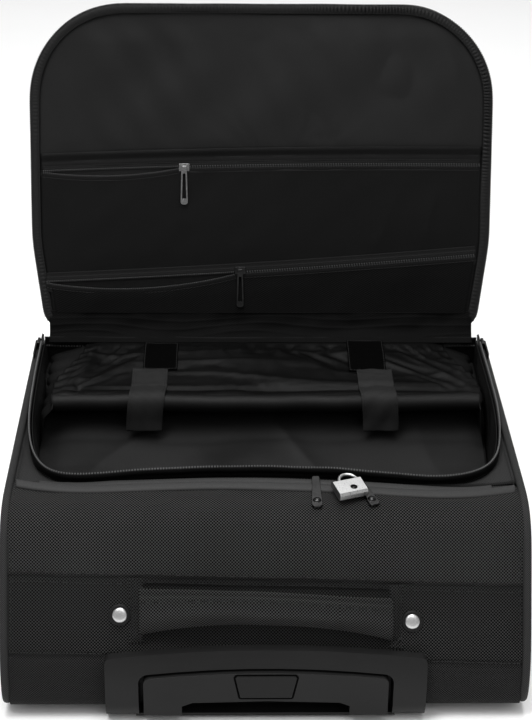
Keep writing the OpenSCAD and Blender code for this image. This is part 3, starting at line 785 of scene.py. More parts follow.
def make_seams(mat):
    """The stitches beside the handle end's two seams; the lower ones stop at the trolley's cup."""
    xs = np.linspace(-226, 226, 200)
    stitch_row("seam_high", xs, SEAM_HIGH + 3.2, mat)
    stitch_row("seam_lower_row", xs, SEAM_HIGH - 4.2, mat)
    for side in (-1, 1):
        stitch_row("seam_low_%d" % (side + 1), xs[xs * side > 146], SEAM_LOW + 2.8, mat)


# ---------------------------------------------------------------- rim and inside
def rim_path(count):
    """The rim seen from above, from the far left corner round the handle end to the far right."""
    corner = [(-228.3, 392), (-228.0, 300), (-226.5, 235), (-224, 198), (-219, 169),
              (-212.5, 143), (-203.5, 124.5), (-195, 117), (-186, 114.3), (-173, 113.7),
              (-150, 114.8), (-118, 118), (-73, 122), (-20, 124.2), (0, 124), (32, 122.5),
              (62, 120), (104, 115.8), (140, 113), (169, 111.5), (187, 115), (205, 127),
              (215.5, 146), (222, 171), (227, 207), (228.8, 250), (228.6, 300), (228.3, 392)]
    return resample(corner, count)


def rim_top(x, y):
    """Height of the rim's upper edge: it sags at the near right corner."""
    slump = 3.8 * smooth(x, 60, 170) + 3.0 * smooth(-x, 90, 190)
    return RIM_TOP - slump * (1 - smooth(y, 170, 260)) + 0.3 * sway(x, y, 31, 80)


def rim_lines():
    """The rim's path with its outward vectors, upper edge and length; 1 on the near side."""
    path = rim_path(RIM_POINTS)
    out = -edge_out(path)
    return (path, out, rim_top(path[:, 0], path[:, 1]), step_lengths(path),
            smooth(path[:, 1], 150, 130)[:, None])


def beside(path, out, shift, z):
    """A grid of points shift mm out of a path that is seen from above, at heights z."""
    return grid_of(path[:, None, 0] + out[:, None, 0] * shift,
                   path[:, None, 1] + out[:, None, 1] * shift, z)


def make_rim(mat):
    """The soft wall round the opening, its zipper tape and the open zipper's teeth."""
    path, out, top, length, near = rim_lines()

    def wall(name, low, high, rows, lift, material, wave, thick):
        f = np.linspace(0, 1, rows)
        z = low + (high - low) * f
        shift = lift + wave * sway(length[:, None], z * 2, 37, 70) * smooth(f, 1.0, 0.4) \
            - TUCK * smooth(z, 187, 181) * near
        return sheet(name, beside(path, out, shift,
                                  (top - RIM_TOP)[:, None] * smooth(z, 160, 190) + z),
                     material, thick)

    lay(wall("rim_wall", 150.0, 190.0, 24, 0.2, mat["nylon"], 0.8, 1.4), "case", "nylon",
        (1.0, 0.042), "stretched", "handle_end_nylon", "front_gusset")
    lay(wall("rim_tape", 177.5, 190.6, 10, 0.75, mat["tape"], 0.3, 0.5), "case", "nylon_trim",
        (1.0, 0.014), "stretched", "rim_wall")
    line = np.column_stack([path, top - 1.3])
    teeth = beads("rim_teeth", line[8:-8], (0, 0, 1), 2.6, (1.3, 1.5, 1.6), mat["zip_teeth"])
    ride(teeth, "case", "zip_teeth", "rim_zipper_chain")


def make_side_flaps(mat):
    """The flat strips of nylon between the rim and the sides."""
    path = rim_path(RIM_POINTS)
    ys = np.linspace(112, 391, 120)
    for side, word in SIDES:
        half = path[:, 0] * side > 120
        order = np.argsort(path[half, 1])
        reach = np.abs(np.interp(ys, path[half, 1][order], path[half, 0][order])) + 0.3
        across = np.linspace(0, 1, 10)
        x = side * (reach[:, None] + (232.0 - reach[:, None]) * across)
        z = 176.5 + 3.6 * across ** 2 + 0.5 * sway(ys[:, None], x, 33, 50)
        p = grid_of(x, ys[:, None], z)[::-side]
        lay(sheet("side_flap_" + word, p, mat["nylon_fine"], 0.9), "case", "nylon",
            (0.28, 0.026), "stretched", "rim_wall", area=0.0024)


def make_inner_lining(mat):
    """The lining inside the rim, and the floor far below it."""
    path, out, top, length, near = rim_lines()
    f = np.linspace(0, 1, 40)
    z = 80 + 107 * f
    fold = 1.6 * sway(length[:, None], z * 0.5, 41, 70) \
        + 1.2 * crease(length[:, None], z, 0.9, 55, 43)
    shift = np.minimum(-fold - 1.2, -0.2) * smooth(f, 1.0, 0.85) * (0.2 + smooth(f, 0, 0.2)) \
        - TUCK * smooth(z, 187, 181) * near
    p = beside(path - out * 3.3, out, shift, z + (top - RIM_TOP)[:, None] * smooth(z, 150, 188))
    lay(sheet("inner_lining", p[::-1], mat["lining"], 0.8), "case", "lining", (1.0, 0.11),
        "hung", "rim_wall", "compartment_lining")
    x, y = np.linspace(-222, 222, 60)[:, None], np.linspace(122, 389, 40)[None]
    lay(sheet("floor_lining", grid_of(x, y, 70 + 0.6 * sway(x, y, 47, 110)), mat["lining"], 0.8),
        "case", "lining", (0.445, 0.268), "laid", "outer_tubes")


def make_back_lining(mat):
    """The lining along the hinge side of the compartment."""
    x, z = np.linspace(-226, 226, 160)[:, None], np.linspace(78, 189, 50)[None]
    y = 388.2 - 1.2 * np.abs(sway(x, z * 0.6, 191, 90)) - 0.8 * np.abs(crease(x, z, 0.2, 60, 193))
    lay(sheet("back_lining", grid_of(x, y, z)[::-1], mat["lining_dark"], 0.8), "case", "lining",
        (0.452, 0.111), "hung", "inner_lining")


def make_divider(mat):
    """The soft panel that rises towards the hinge below the padded pocket."""
    x, y = np.linspace(-224, 224, 170)[:, None], np.linspace(124, 386, 100)[None]
    edge = smooth(224 - np.abs(x), 0, 25) * smooth(y, 124, 145) * smooth(386 - y, 0, 20)
    folds = (3.2 * sway(x, y, 53, 190) + 3.5 * crease(x, y, 0.7, 120, 57) * smooth(x, 90, 0)
             + 3.0 * crease(x, y, -0.8, 110, 59) * smooth(x, -90, 0) + 1.0 * sway(x, y, 61, 60))
    rise = np.interp(y, [124, 180, 240, 272, 300, 340, 386], [84, 98, 117, 130, 148, 158, 160])
    lay(sheet("divider_lining", grid_of(x, y, rise + edge * folds), mat["lining_low"], 1.2),
        "case", "lining", (0.452, 0.284), "stretched", "inner_lining", "divider_panel")


# ---------------------------------------------------------------- padded pocket
def pad_top(y):
    """Height of the pocket panel's upper face."""
    return 175 + 11 * (y - ROLL_Y) / (PAD_FAR_Y - ROLL_Y) + 3.4 * smooth(y, 300, ROLL_Y)


def pad_half(x, y):
    """Half the pocket panel's width: it narrows towards the hinge."""
    return np.where(x < 0, PAD_HALF - 8, PAD_HALF) - 27 * smooth(y, 300, 376)


def pad_profile():
    """The pocket panel's section: its upper face, over the roll, and back below."""
    back = [(PAD_FAR_Y, 185.5), (360, pad_top(360)), (335, pad_top(335)), (310, pad_top(310)),
            (296, pad_top(296))]
    roll = [(ROLL_Y + ROLL_R * math.sin(a), ROLL_Z + ROLL_R * math.cos(a))
            for a in np.linspace(0.1, -math.pi - 0.3, 12)]
    under = [(296, 168.5), (320, 171), (350, 173.5), (PAD_FAR_Y, 177.5)]
    return np.array(back + roll + under)


def settle(piece, pressure, limit):
    """Inflates a closed soft piece a little with a cloth simulation, so that it swells and
    wrinkles; no point ends up more than limit mm from where it was."""
    before = np.empty(len(piece.data.vertices) * 3)
    piece.data.vertices.foreach_get("co", before)
    pin = piece.vertex_groups.new(name="pin")
    points = local(before.reshape(-1, 3))
    for i in np.nonzero(points[:, 1] > PAD_FAR_Y - 8)[0]:
        pin.add([int(i)], 1.0, "REPLACE")
    cloth_mod = piece.modifiers.new("cloth", "CLOTH")
    s = cloth_mod.settings
    s.quality = 5
    s.mass = 0.25
    s.tension_stiffness = s.compression_stiffness = 12
    s.shear_stiffness = 8
    s.bending_stiffness = 0.6
    s.use_pressure = True
    s.uniform_pressure_force = pressure
    s.vertex_group_mass = "pin"
    s.effector_weights.gravity = 0
    s.shrink_min = -0.03
    cloth_mod.collision_settings.use_collision = False
    cloth_mod.point_cache.frame_start = 1
    cloth_mod.point_cache.frame_end = SETTLE_FRAMES
    scene = bpy.context.scene
    for number in range(1, SETTLE_FRAMES + 1):
        scene.frame_set(number)
    shape = piece.evaluated_get(bpy.context.evaluated_depsgraph_get())
    after = np.empty(len(before))
    shape.data.vertices.foreach_get("co", after)
    piece.modifiers.remove(cloth_mod)
    scene.frame_set(1)
    move = (after - before).reshape(-1, 3)
    far = np.linalg.norm(move, axis=1, keepdims=True)
    move *= limit * MM / np.maximum(far, limit * MM)
    piece.data.vertices.foreach_set("co", (before.reshape(-1, 3) + move).ravel())
    piece.data.update()


def make_pad(mat):
    """The padded pocket's panel and the roll along its near edge."""
    section = resample(pad_profile(), 88)
    normal = frame_of(section[::-1])[::-1]
    xs = np.linspace(-PAD_HALF, PAD_HALF, 200)
    x = xs[:, None]
    y, z = section[None, :, 0], section[None, :, 1]
    plan = np.interp(x, [-PAD_HALF, PAD_HALF], [-1, 1]) * pad_half(x, y)
    reach = step_lengths(section)[None]
    upper = smooth(reach, 0, 12) * (1 - smooth(reach, 80, 96))
    ends = smooth(PAD_HALF - np.abs(x), 0, 16)
    radial = np.arctan2(y - 240, PAD_HALF + 30 - np.abs(x)) * 110
    folds = (0.8 * sway(x * 0.5, reach * 1.6, 67, 120)
             + 0.9 * crease(x * 0.3, reach, 0.05, 24, 71)
             + 1.4 * crease(radial, x * 0.15, 1.57, 15, 73) * smooth(np.abs(x), 120, 200)
             + 0.3 * sway(x, reach * 1.5, 79, 34))
    welt = -2.0 * bump(reach, 93, 3.2) * ends
    gather = 1.1 * np.sin(reach / 2.1 + 0.05 * x) * (1 - smooth(PAD_HALF - np.abs(x), 2, 22))
    lift = upper * ends * folds + welt + gather * smooth(reach, 4, 20) - 2.2 * (1 - ends)
    p = grid_of(plan, y + normal[None, :, 0] * lift, z + normal[None, :, 1] * lift)
    rows, columns = p.shape[:2]
    faces = grid_faces(rows, columns, wrap=True, flip=True) + end_faces(rows, columns)
    uv = np.dstack(np.broadcast_arrays(x, reach))
    pad = build("pocket_pad", p.reshape(-1, 3), faces, mat["lining_pad"], uv.reshape(-1, 2))
    fix_normals(pad)
    settle(pad, 1.6, 2.5)
    ride(pad, "case", "lining", "pocket_panel")
    xs = np.linspace(-PAD_HALF + 8, PAD_HALF, 120)
    line = np.column_stack([xs, ROLL_Y - 1.0 + 0.8 * sway(xs, 0 * xs, 197, 90),
                            ROLL_Z + 0.6 * sway(xs, 0 * xs, 199, 120) - 1.2 * bump(xs, 0, 120)])
    # the roll takes the paler copy of the pocket's lining: painted light on the lit tube
    tube = sweep("pocket_roll", line, (0, 1, 0), (0, 0, 1),
                 oval(2 * ROLL_R + 2.4, 2 * ROLL_R + 2.4, 28), mat["roll"])
    ride(tube, "case", "lining")
    points, faces = [], []
    for solid in (pad, tube):
        faces += [tuple(len(points) + i for i in f.vertices) for f in solid.data.polygons]
        points += [v.co.copy() for v in solid.data.vertices]
    return BVHTree.FromPolygons(points, faces)


def make_gussets(mat):
    """The gathered gussets at the pocket's two ends."""
    for side, word in SIDES:
        ys = np.linspace(262, 386, 80)
        drop = np.linspace(0, 1, 26)
        y = np.broadcast_to(ys[:, None], (80, 26))
        z = (pad_top(ys) - 3)[:, None] - (58 - 0.12 * (386 - y)) * drop[None]
        top = pad_half(np.full_like(y, side), y) - 2
        x = side * (top + (216.0 - top) * smooth(drop[None], 0, 0.3)
                    + 5.5 * np.sin(math.pi * drop[None] / 2) ** 0.8
                    + 2.3 * np.sin(y / 3.6 + 2 * drop[None]) * np.sin(math.pi * drop[None])
                    + 0.9 * sway(y, z, 83, 40) * drop[None])
        web = sheet("pocket_gusset_" + word, grid_of(x, y, z)[::-side], mat["lining"], 0.7)
        lay(web, "case", "lining", (0.13, 0.066), "gathered", "pocket_pad",
            *(["pocket_gussets"] if side < 0 else []))


def make_hook_patches(mat, pad_tree):
    """The two dark patches of hook tape on the pocket's panel."""
    patches = [(-121, -86, 328, 378), (89, 127, 328, 384)]
    for number, (x0, x1, y0, y1) in enumerate(patches):
        x, y = np.linspace(x0, x1, 30)[:, None], np.linspace(y0, y1, 36)[None]
        z = pad_top(y) + 1.0 + 0.3 * sway(x, y, 89, 30) + 0.2 * sway(x, y, 91, 8)
        grid = lie_on(pad_tree, grid_of(x, y, z), 1.7)
        patch = sheet("hook_tape_%d" % number, grid, mat["hook_tape"], 1.6)
        lay(patch, "case", "hook_tape", (0.036, 0.047), "laid", "pocket_pad",
            *(["hook_patches"] if number == 0 else []))
        rim = np.concatenate([grid[1:-1, 1], grid[-2, 1:-1], grid[1:-1, -2][::-1],
                              grid[1, 1:-1][::-1]])
        sew(mat, patch.name + "_stitch", rim, (0, 0, 1), 3.0, (2.0, 0.6, 0.4))


def lie_on(tree, p, gap):
    """Lifts a grid's points to rest gap mm over the soft piece below them."""
    top = p[:, :, 2].copy()
    for i in range(p.shape[0]):
        for j in range(p.shape[1]):
            start = Vector((p[i, j, 0] * MM, p[i, j, 1] * MM + ORIGIN_Y, 0.23))
            hit = tree.ray_cast(start, Vector((0, 0, -1)))[0]
            if hit is not None:
                top[i, j] = hit.z / MM
    for _ in range(6):
        top[1:-1, 1:-1] = (top[:-2, 1:-1] + top[2:, 1:-1] + top[1:-1, :-2] + top[1:-1, 2:]
                           + 4 * top[1:-1, 1:-1]) / 8
    p[:, :, 2] = np.maximum(top + gap, p[:, :, 2])
    return p


def make_straps(mat, pad_tree):
    """The two strap ends that lie on the pocket and hang over its roll."""
    for number, (word, middle) in enumerate((("left", -116), ("right", 112))):
        r = ROLL_R + 3.6
        lead = [(329, pad_top(329) + 2.0), (312, pad_top(312) + 2.8), (298, pad_top(298) + 2.8)]
        over = [(ROLL_Y + r * math.sin(a), ROLL_Z + 1 + r * math.cos(a))
                for a in np.linspace(0.35, -1.5, 8)]
        tail = [(ROLL_Y - r - 0.4, 166), (ROLL_Y - r + 0.4, 155), (ROLL_Y - r - 0.6, 144)]
        path = resample(lead + over + tail, 70)
        half = np.linspace(-STRAP_HALF, STRAP_HALF, 26)
        length = step_lengths(path)
        curl = 0.5 * (half[:, None] / STRAP_HALF) ** 2 * smooth(length[None], 50, 90)
        wave = 0.45 * sway(half[:, None] * 2, length[None], 97 + number, 45)
        normal = frame_of(path[::-1])[::-1]
        lift = wave - curl
        skew = 2.5 + (4.0 if number else -4.5) * smooth(length, 30, 95)
        p = grid_of(middle + half[:, None] + skew[None],
                    path[None, :, 0] + normal[None, :, 0] * lift,
                    path[None, :, 1] + normal[None, :, 1] * lift)
        flat_part = int(np.argmax(path[:, 0] < 292))
        p[:, :flat_part] = lie_on(pad_tree, p[:, :flat_part].copy(), 1.9)
        for number_of, row in ((0, 2), (2, 23)):
            edge, out = p[row, ::-1][8:], grid_normals(p[:, ::-1])[row][8:]
            thread = beads("strap_stitch_%s_%d" % (word, number_of), edge + out * 0.2, out, 3.2,
                           (2.2, 0.7, 0.4), mat["thread"])
            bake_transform(thread)
        band = sheet("strap_webbing_" + word, p[:, ::-1], mat["webbing"], 1.6)
        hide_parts("strap_" + word, *(["strap_anchors"] if number == 0 else []))
        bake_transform(band)


# ---------------------------------------------------------------- carry handle
def handle_grid(x0, x1, steps):
    """The carry handle's outer face: it bows away from the case and its lower edge arches."""
    xs = np.linspace(x0, x1, steps)
    f = np.linspace(0, 1, 26)
    reach = 1 - (np.abs(xs) / (HANDLE_X + 6)) ** 2.4
    low = 80.5 + 12.5 * reach + SAG * xs
    high = 118.5 - 3 * smooth(xs, -20, 105) + 1.0 * reach + SAG * xs
    z = low[:, None] + (high - low)[:, None] * f[None]
    x = np.broadcast_to(xs[:, None], z.shape)
    across = 2 * f[None] - 1
    away = 3.0 + 8.5 * reach[:, None] + 8.0 * (1 - across ** 2) - 1.3 * bump(across, 0.72, 0.08)
    away = away + 0.5 * sway(x, z * 2, 101, 60)
    y = lean_y(z)
    return np.dstack([x, y + LEAN_OUT[1] * away, z + LEAN_OUT[2] * away])


def make_handle(mat):
    """The carry strap: its middle moves with the handle, and its two ends are fixed pieces."""
    inner = HANDLE_X - HANDLE_FADE
    parts = [("middle", -inner, inner, 90), ("left", -HANDLE_X - 2, -inner, 40),
             ("right", inner, HANDLE_X + 2, 40)]
    for word, x0, x1, steps in parts:
        grid = handle_grid(x0, x1, steps)
        band = sheet("carry_strap_" + word, grid, mat["strap"], 2.8)
        row = grid[:, 18] + LEAN_OUT * 0.4
        thread = beads("carry_stitch_" + word, row, LEAN_OUT, 3.8, (2.6, 0.8, 0.5), mat["thread"])
        if word == "middle":
            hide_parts("carry_handle")
            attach(band, "carry_handle")
            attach(thread, "carry_handle")
        else:
            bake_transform(band)
            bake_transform(thread)


def make_handle_patches(mat):
    """The patches that the strap's ends are sewn under."""
    for side, word in SIDES:
        xs = np.linspace(109.5, 121.5, 16)
        f = np.linspace(0, 1, 30)
        x = xs[:, None] if side > 0 else -xs[::-1, None]
        z = 75 + (SEAM_HIGH - 75) * f[None] + SAG * x
        away = 1.2 + 4.0 * smooth(np.abs(x), 121.5, 112) * smooth(z, 79, 84) \
            * (1 - smooth(z, 116, 124))
        away = away + 0.3 * sway(x, z, 103, 20)
        y = lean_y(z)
        grid = grid_of(x, y + LEAN_OUT[1] * away, z + LEAN_OUT[2] * away)
        # the patches take the darker copy of the nylon, painted shade, like the middle panel they
        # sit on
        patch = sheet("handle_patch_" + word, grid, mat["nylon_mid"], 1.2)
        lay(patch, "case", "nylon_trim", (0.018, 0.055), "stretched", "handle_end_nylon",
            *(["handle_patches"] if side < 0 else []))
        for column in (2, 7, 13):
            sew(mat, "%s_stitch_%d" % (patch.name, column), grid[column] + LEAN_OUT * 0.2,
                LEAN_OUT, 3.6, (2.5, 0.8, 0.5))


def turned(name, profile, centre, axis, up, material, steps=40, closed=False):
    """A lathed solid: profile is (radius, height) along axis, with up across it."""
    axis, up = np.array(axis, float), np.array(up, float)
    side = np.cross(axis, up)
    angle = np.linspace(0, 2 * math.pi, steps, endpoint=False)
    ring = np.cos(angle)[:, None] * up + np.sin(angle)[:, None] * side
    p = np.stack([centre + ring * r + axis * h for r, h in profile], axis=0)
    faces = grid_faces(len(profile), steps, wrap=True) + end_faces(len(profile), steps, closed)
    piece = build(name, p.reshape(-1, 3), faces, material, p.reshape(-1, 3)[:, [0, 2]])
    fix_normals(piece)
    return piece


def make_rivets(mat):
    """The two frame rivets beside the carry handle, each in a washer."""
    for side, word in SIDES:
        x = side * 129.5
        z = 97.2 + SAG * x
        centre = np.array([x, lean_y(z), z]) + LEAN_OUT * (0.4 + near_push(x, lean_y(z), z))
        up = (1, 0, 0)
        washer = turned("rivet_washer_" + word, [(9.6, -0.5), (9.6, 0.5), (8.9, 1.1), (7.0, 1.2),
                        (6.6, 0.6)], centre, LEAN_OUT, up, mat["button"])
        ride(washer, "case", "button")
        dome = turned("rivet_" + word, [(6.7, -0.4), (6.8, 0.9), (6.5, 1.7), (5.6, 2.3), (3.7, 2.7),
                      (1.6, 2.9), (0.2, 2.9)], centre, LEAN_OUT, up, mat["nickel"])
        ride(dome, "case", "nickel", *(["rivets"] if side < 0 else []))


# ---------------------------------------------------------------- hard parts
def softened(name, node, body, slot, material, width=0.8, segments=3, angle=32):
    """A copy of a CAD node with its edges rounded over, to stand for it."""
    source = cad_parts[node]
    piece = bpy.data.objects.new(name, source.data.copy())
    piece.matrix_world = source.matrix_world.copy()
    bpy.context.scene.collection.objects.link(piece)
    piece.data.materials.clear()
    piece.data.materials.append(material)
    work = bmesh.new()
    work.from_mesh(piece.data)
    bmesh.ops.remove_doubles(work, verts=work.verts, dist=2e-5)
    bmesh.ops.dissolve_limit(work, angle_limit=math.radians(1.5), verts=work.verts,
                             edges=work.edges)
    work.to_mesh(piece.data)
    work.free()
    piece.data.polygons.foreach_set("use_smooth", [True] * len(piece.data.polygons))
    rounding = piece.modifiers.new("rounding", "BEVEL")
    rounding.width = width * MM
    rounding.segments = segments
    rounding.limit_method = "ANGLE"
    rounding.angle_limit = math.radians(angle)
    rounding.harden_normals = True
    rounding.use_clamp_overlap = True
    even = piece.modifiers.new("even", "WEIGHTED_NORMAL")
    even.keep_sharp = False
    return ride(piece, body, slot, node)


def make_trolley(mat):
    """The trolley's bezel, grip and button, the black line round the button, which is a painted
    shadow in its gap, and its spring.
    """
    softened("bezel", "trolley_bezel", "case", "moulding", mat["moulding"], 1.6, 4)
    softened("grip", "trolley_grip", "grip", "moulding", mat["moulding"], 1.8, 4)
    softened("grip_button", "trolley_button", "button", "button", mat["button"], 0.9)
    # a thin near-black ring in the gap round the button: a painted shadow
    outline = rounded([(-23.6, 30.2, 2), (-28.2, 53.2, 2), (-26.4, 55.8, 1), (26.4, 55.8, 1),
                       (28.2, 53.2, 2), (23.6, 30.2, 2)])
    face = (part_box("trolley_button")[0].y - ORIGIN_Y) / MM
    loop = np.column_stack([outline[:, 0], np.full(len(outline), face + 0.7), outline[:, 1]])
    across = np.cross(np.roll(loop, -1, 0) - np.roll(loop, 1, 0), (0, -1.0, 0))
    across /= np.linalg.norm(across, axis=1, keepdims=True)
    gap_shadow = sweep("button_gap_shadow", loop, across, (0, -1, 0), oval(1.7, 0.8, 10),
                   mat["hook_tape"], closed=True)
    ride(gap_shadow, "grip", "button")
    low, high = (local(v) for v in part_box("button_spring"))
    middle, radius = (low + high) / 2, (high - low)[0] / 2 - 0.6
    turns = np.linspace(0, 2 * math.pi * 6, 240)
    radial = np.column_stack([np.cos(turns), 0 * turns, np.sin(turns)])
    coil = np.array([middle[0], 0, middle[2]]) + radial * radius \
        + np.linspace(low[1] + 0.6, high[1] - 0.6, 240)[:, None] * np.array([0, 1.0, 0])
    spring = sweep("button_spring_coil", coil, radial, (0, 1, 0), oval(1.0, 1.0, 8), mat["steel"])
    ride(spring, "grip", "steel", "button_spring")
    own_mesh(spring)


def make_lock(mat):
    """The padlock's body and shackle, and its keyhole."""
    low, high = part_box("padlock_body")
    turn, tilt = math.radians(20), math.radians(8)
    axis = np.array([math.sin(turn) * math.sin(tilt), -math.cos(turn) * math.sin(tilt),
                     math.cos(tilt)])
    side = np.array([math.cos(turn), math.sin(turn), 0])
    middle = local((low + high) / 2)
    eye = middle + 2.5 * side - 3.5 * np.cross(axis, side) + 3.4 * axis
    hole = [(0.0, 0.0), (3.1, 0.0), (3.1, 0.5), (1.6, 0.5), (1.5, 0.9), (0.0, 0.9)]
    ride(turned("lock_keyhole", hole, eye, axis, side, mat["black_metal"]), "padlock", "nickel")
    softened("lock_body", "padlock_body", "padlock", "nickel", mat["chrome"], 0.35, 3, 20)
    softened("lock_shackle", "padlock_shackle", "padlock", "nickel", mat["chrome"], 0.1, 1, 60)


def make_hardware(mat):
    """The zipper sliders and pulls, the wheel bays and hubs, and the feet."""
    for word in ("upper", "lower"):
        finish = mat["zip_metal" if word == "upper" else "black_metal"]
        softened(word + "_slider_body", word + "_slider", word + "_slider", "zip_metal",
                 finish, 0.45)
        softened(word + "_pull_loop", word + "_pull", word + "_pull", "zip_metal", finish, 0.4)
    softened("rear_slider_bodies", "rear_sliders", "rear_sliders", "zip_metal",
             mat["zip_metal"], 0.6)
    softened("rear_pull_plates", "rear_pulls", "rear_pulls", "zip_metal", mat["black_metal"], 0.7)
    for side in ("left", "right"):
        softened("edge_slider_" + side, "rim_slider_" + side, "rim_slider_" + side, "zip_metal",
                 mat["black_metal"], 0.5)
        softened("wheel_bay_" + side, "wheel_housing_" + side, "case", "moulding",
                 mat["moulding"], 1.2)
        softened("wheel_hub_" + side, "hub_" + side, "wheel_" + side, "moulding",
                 mat["moulding"], 0.8)
    softened("corner_feet", "bottom_feet", "case", "moulding", mat["moulding"], 1.2)


def make_tyres(mat):
    """The two tyres, a little crowned and with two grooves."""
    for side, word in SIDES:
        centre = np.array([side * WHEEL_X, WHEEL_Y, WHEEL_Z])
        half, profile = TYRE_HALF, []
        for step in range(9):
            h = -half + 2 * half * step / 8
            profile.append((TYRE_R - 1.9 * (abs(h) / half) ** 3 - 0.8 * (step in (3, 5)), h))
        wall, bore = TYRE_R - 2.7, TYRE_BORE
        profile = [(bore, -half), (wall, -half)] + profile[1:-1] + [(wall, half), (bore, half)]
        profile += [(bore - 0.1, half - 0.5), (bore - 0.1, -half + 0.5)]
        tyre = turned("tread_" + word, profile, centre, (1, 0, 0), (0, 0, 1), mat["tyre"], 72,
                      closed=True)
        ride(tyre, "wheel_" + word, "tyre", "tyre_" + word)


# ---------------------------------------------------------------- lid
def zip_s(ends, x):
    """How far a lid zipper is from the hinge at x."""
    f = 2 * x / LID_W
    return ends[0] + (ends[1] - ends[0]) * (f + 1) / 2 + ends[2] * (1 - f * f)


def sag_of(opened, x):
    """How far the lower side of an open zipper hangs below the upper one."""
    t = np.clip((opened[0] - x) / (opened[0] - opened[1]), 0, 1)
    return opened[2] * np.sin(math.pi * t) ** 0.8


def lid_field(inset, low, high, columns, rows):
    """x and s of a grid inside the lid's outline, between two lines that may slope with x."""
    outline = rounded(LID_CORNERS, inset)
    f = np.linspace(-1, 1, columns)[:, None]
    g = np.linspace(0, 1, rows)[None]
    x = f * 225 + 0 * g
    for _ in range(6):
        s = low(x) + (high(x) - low(x)) * g
        safe = np.clip(s, outline[:, 1].min() + 0.01, outline[:, 1].max() - 0.01)
        x = f * span(outline, safe.ravel(), 1)[1].reshape(safe.shape)
    return x, safe


def level(value):
    """A line of the lid at one distance from the hinge."""
    return lambda x: value + 0 * x


def lid_cloth(name, inset, low, high, height, material, columns, rows, *nodes, thick=0.8,
              slot="lining"):
    """A sheet inside the lid between two lines, with height(x, s) out of the lining."""
    x, s = lid_field(inset, low, high, columns, rows)
    p = on_lid(x, s, height(x, s))
    panel = sheet(name, p, material, thick)
    ride(panel, "lid", slot, *nodes)


def lid_path(outset, count, start=14.0):
    """The lid's outline from its lower left round the top to its lower right."""
    outline = rounded(LID_CORNERS, -outset, 16)
    outline = outline[(outline[:, 1] > start)]
    left = [(outline[outline[:, 0] < 0][0][0], start)]
    right = [(outline[outline[:, 0] > 0][-1][0], start)]
    return resample(np.vstack([left, outline, right]), count)


def edge_out(path):
    """Unit vectors across an outline of the lid, away from its middle."""
    t = np.gradient(path, axis=0)
    t /= np.linalg.norm(t, axis=1, keepdims=True)
    return np.column_stack([-t[:, 1], t[:, 0]])


def lid_across(out):
    """Vectors across the lid's outline, turned into the case's axes."""
    return np.column_stack([out[:, 0], out[:, 1] * math.sin(LEAN), out[:, 1] * math.cos(LEAN)])


def make_lid_inside(mat):
    """The lid's lining and its two pockets."""
    bottom = level(3.5)

    def upper(x):
        return zip_s(UPPER_ZIP, x)

    def lower(x):
        return zip_s(LOWER_ZIP, x)

    def lining_height(x, s):
        edge = smooth(225 - np.abs(x), 0, 30) * smooth(LID_LEN - s, 10, 40)
        radiate = np.arctan2(s - 150, x - 20) * 120
        drape = crease(radiate, x * 0, 1.57, 34, 109) * bump(s, 190, 40) * bump(x, 20, 90)
        return -0.9 + edge * smooth(s, 176, 196) * np.abs(1.1 + 0.9 * sway(x, s, 107, 120)
                                                        + 0.5 * sway(x, s, 111, 45) + 0.5 * drape)

    lid_cloth("lid_lining_cloth", 4, bottom, level(LID_LEN - 2), lining_height, mat["lining"],
              150, 110, "lid_lining", thick=0.6)

    def pocket_height(x, s):
        line = upper(x)
        edge = smooth(222 - np.abs(x), 0, 26) * smooth(s, 4, 20)
        slack = smooth(line - s, 8, 60) * smooth(s - lower(x), 0, 30)
        folds = (0.5 + 0.5 * sway(x * 0.8, s * 0.5, 113, 200)
                 + 0.9 * crease(x, s, 1.2, 70, 127) * smooth(x, 0, 180))
        return 1.7 + edge * slack * np.abs(folds) + 0.15 * sway(x, s, 131, 40) * edge

    lid_cloth("lid_pocket_cloth", 9, bottom, lambda x: upper(x) - 3.4 - sag_of(UPPER_OPEN, x),
              pocket_height, mat["lining_dark"], 170, 90, "lid_pocket_panel")

    def band_height(x, s):
        return 1.7 + 0.8 * bump(s - upper(x), 16, 3) - 0.7 * bump(s - upper(x), 11, 3) \
            + 0.2 * sway(x, s, 137, 50)

    lid_cloth("lid_zipper_flap", 9, lambda x: upper(x) + 2.6, lambda x: upper(x) + 19,
              band_height, mat["lining_dark"], 150, 24)

    def mesh_height(x, s):
        edge = smooth(218 - np.abs(x), 0, 20) * smooth(s, 4, 16) * smooth(lower(x) - s, 4, 22)
        return 3.2 + edge * (0.8 + 0.5 * sway(x, s, 139, 100) + 0.7 * crease(x, s, 1.4, 45, 149))

    lid_cloth("mesh_pocket_cloth", 12, bottom, lambda x: lower(x) - 3 - sag_of(LOWER_OPEN, x),
              mesh_height, mat["mesh"], 170, 40, "mesh_pocket", thick=0.6, slot="mesh")


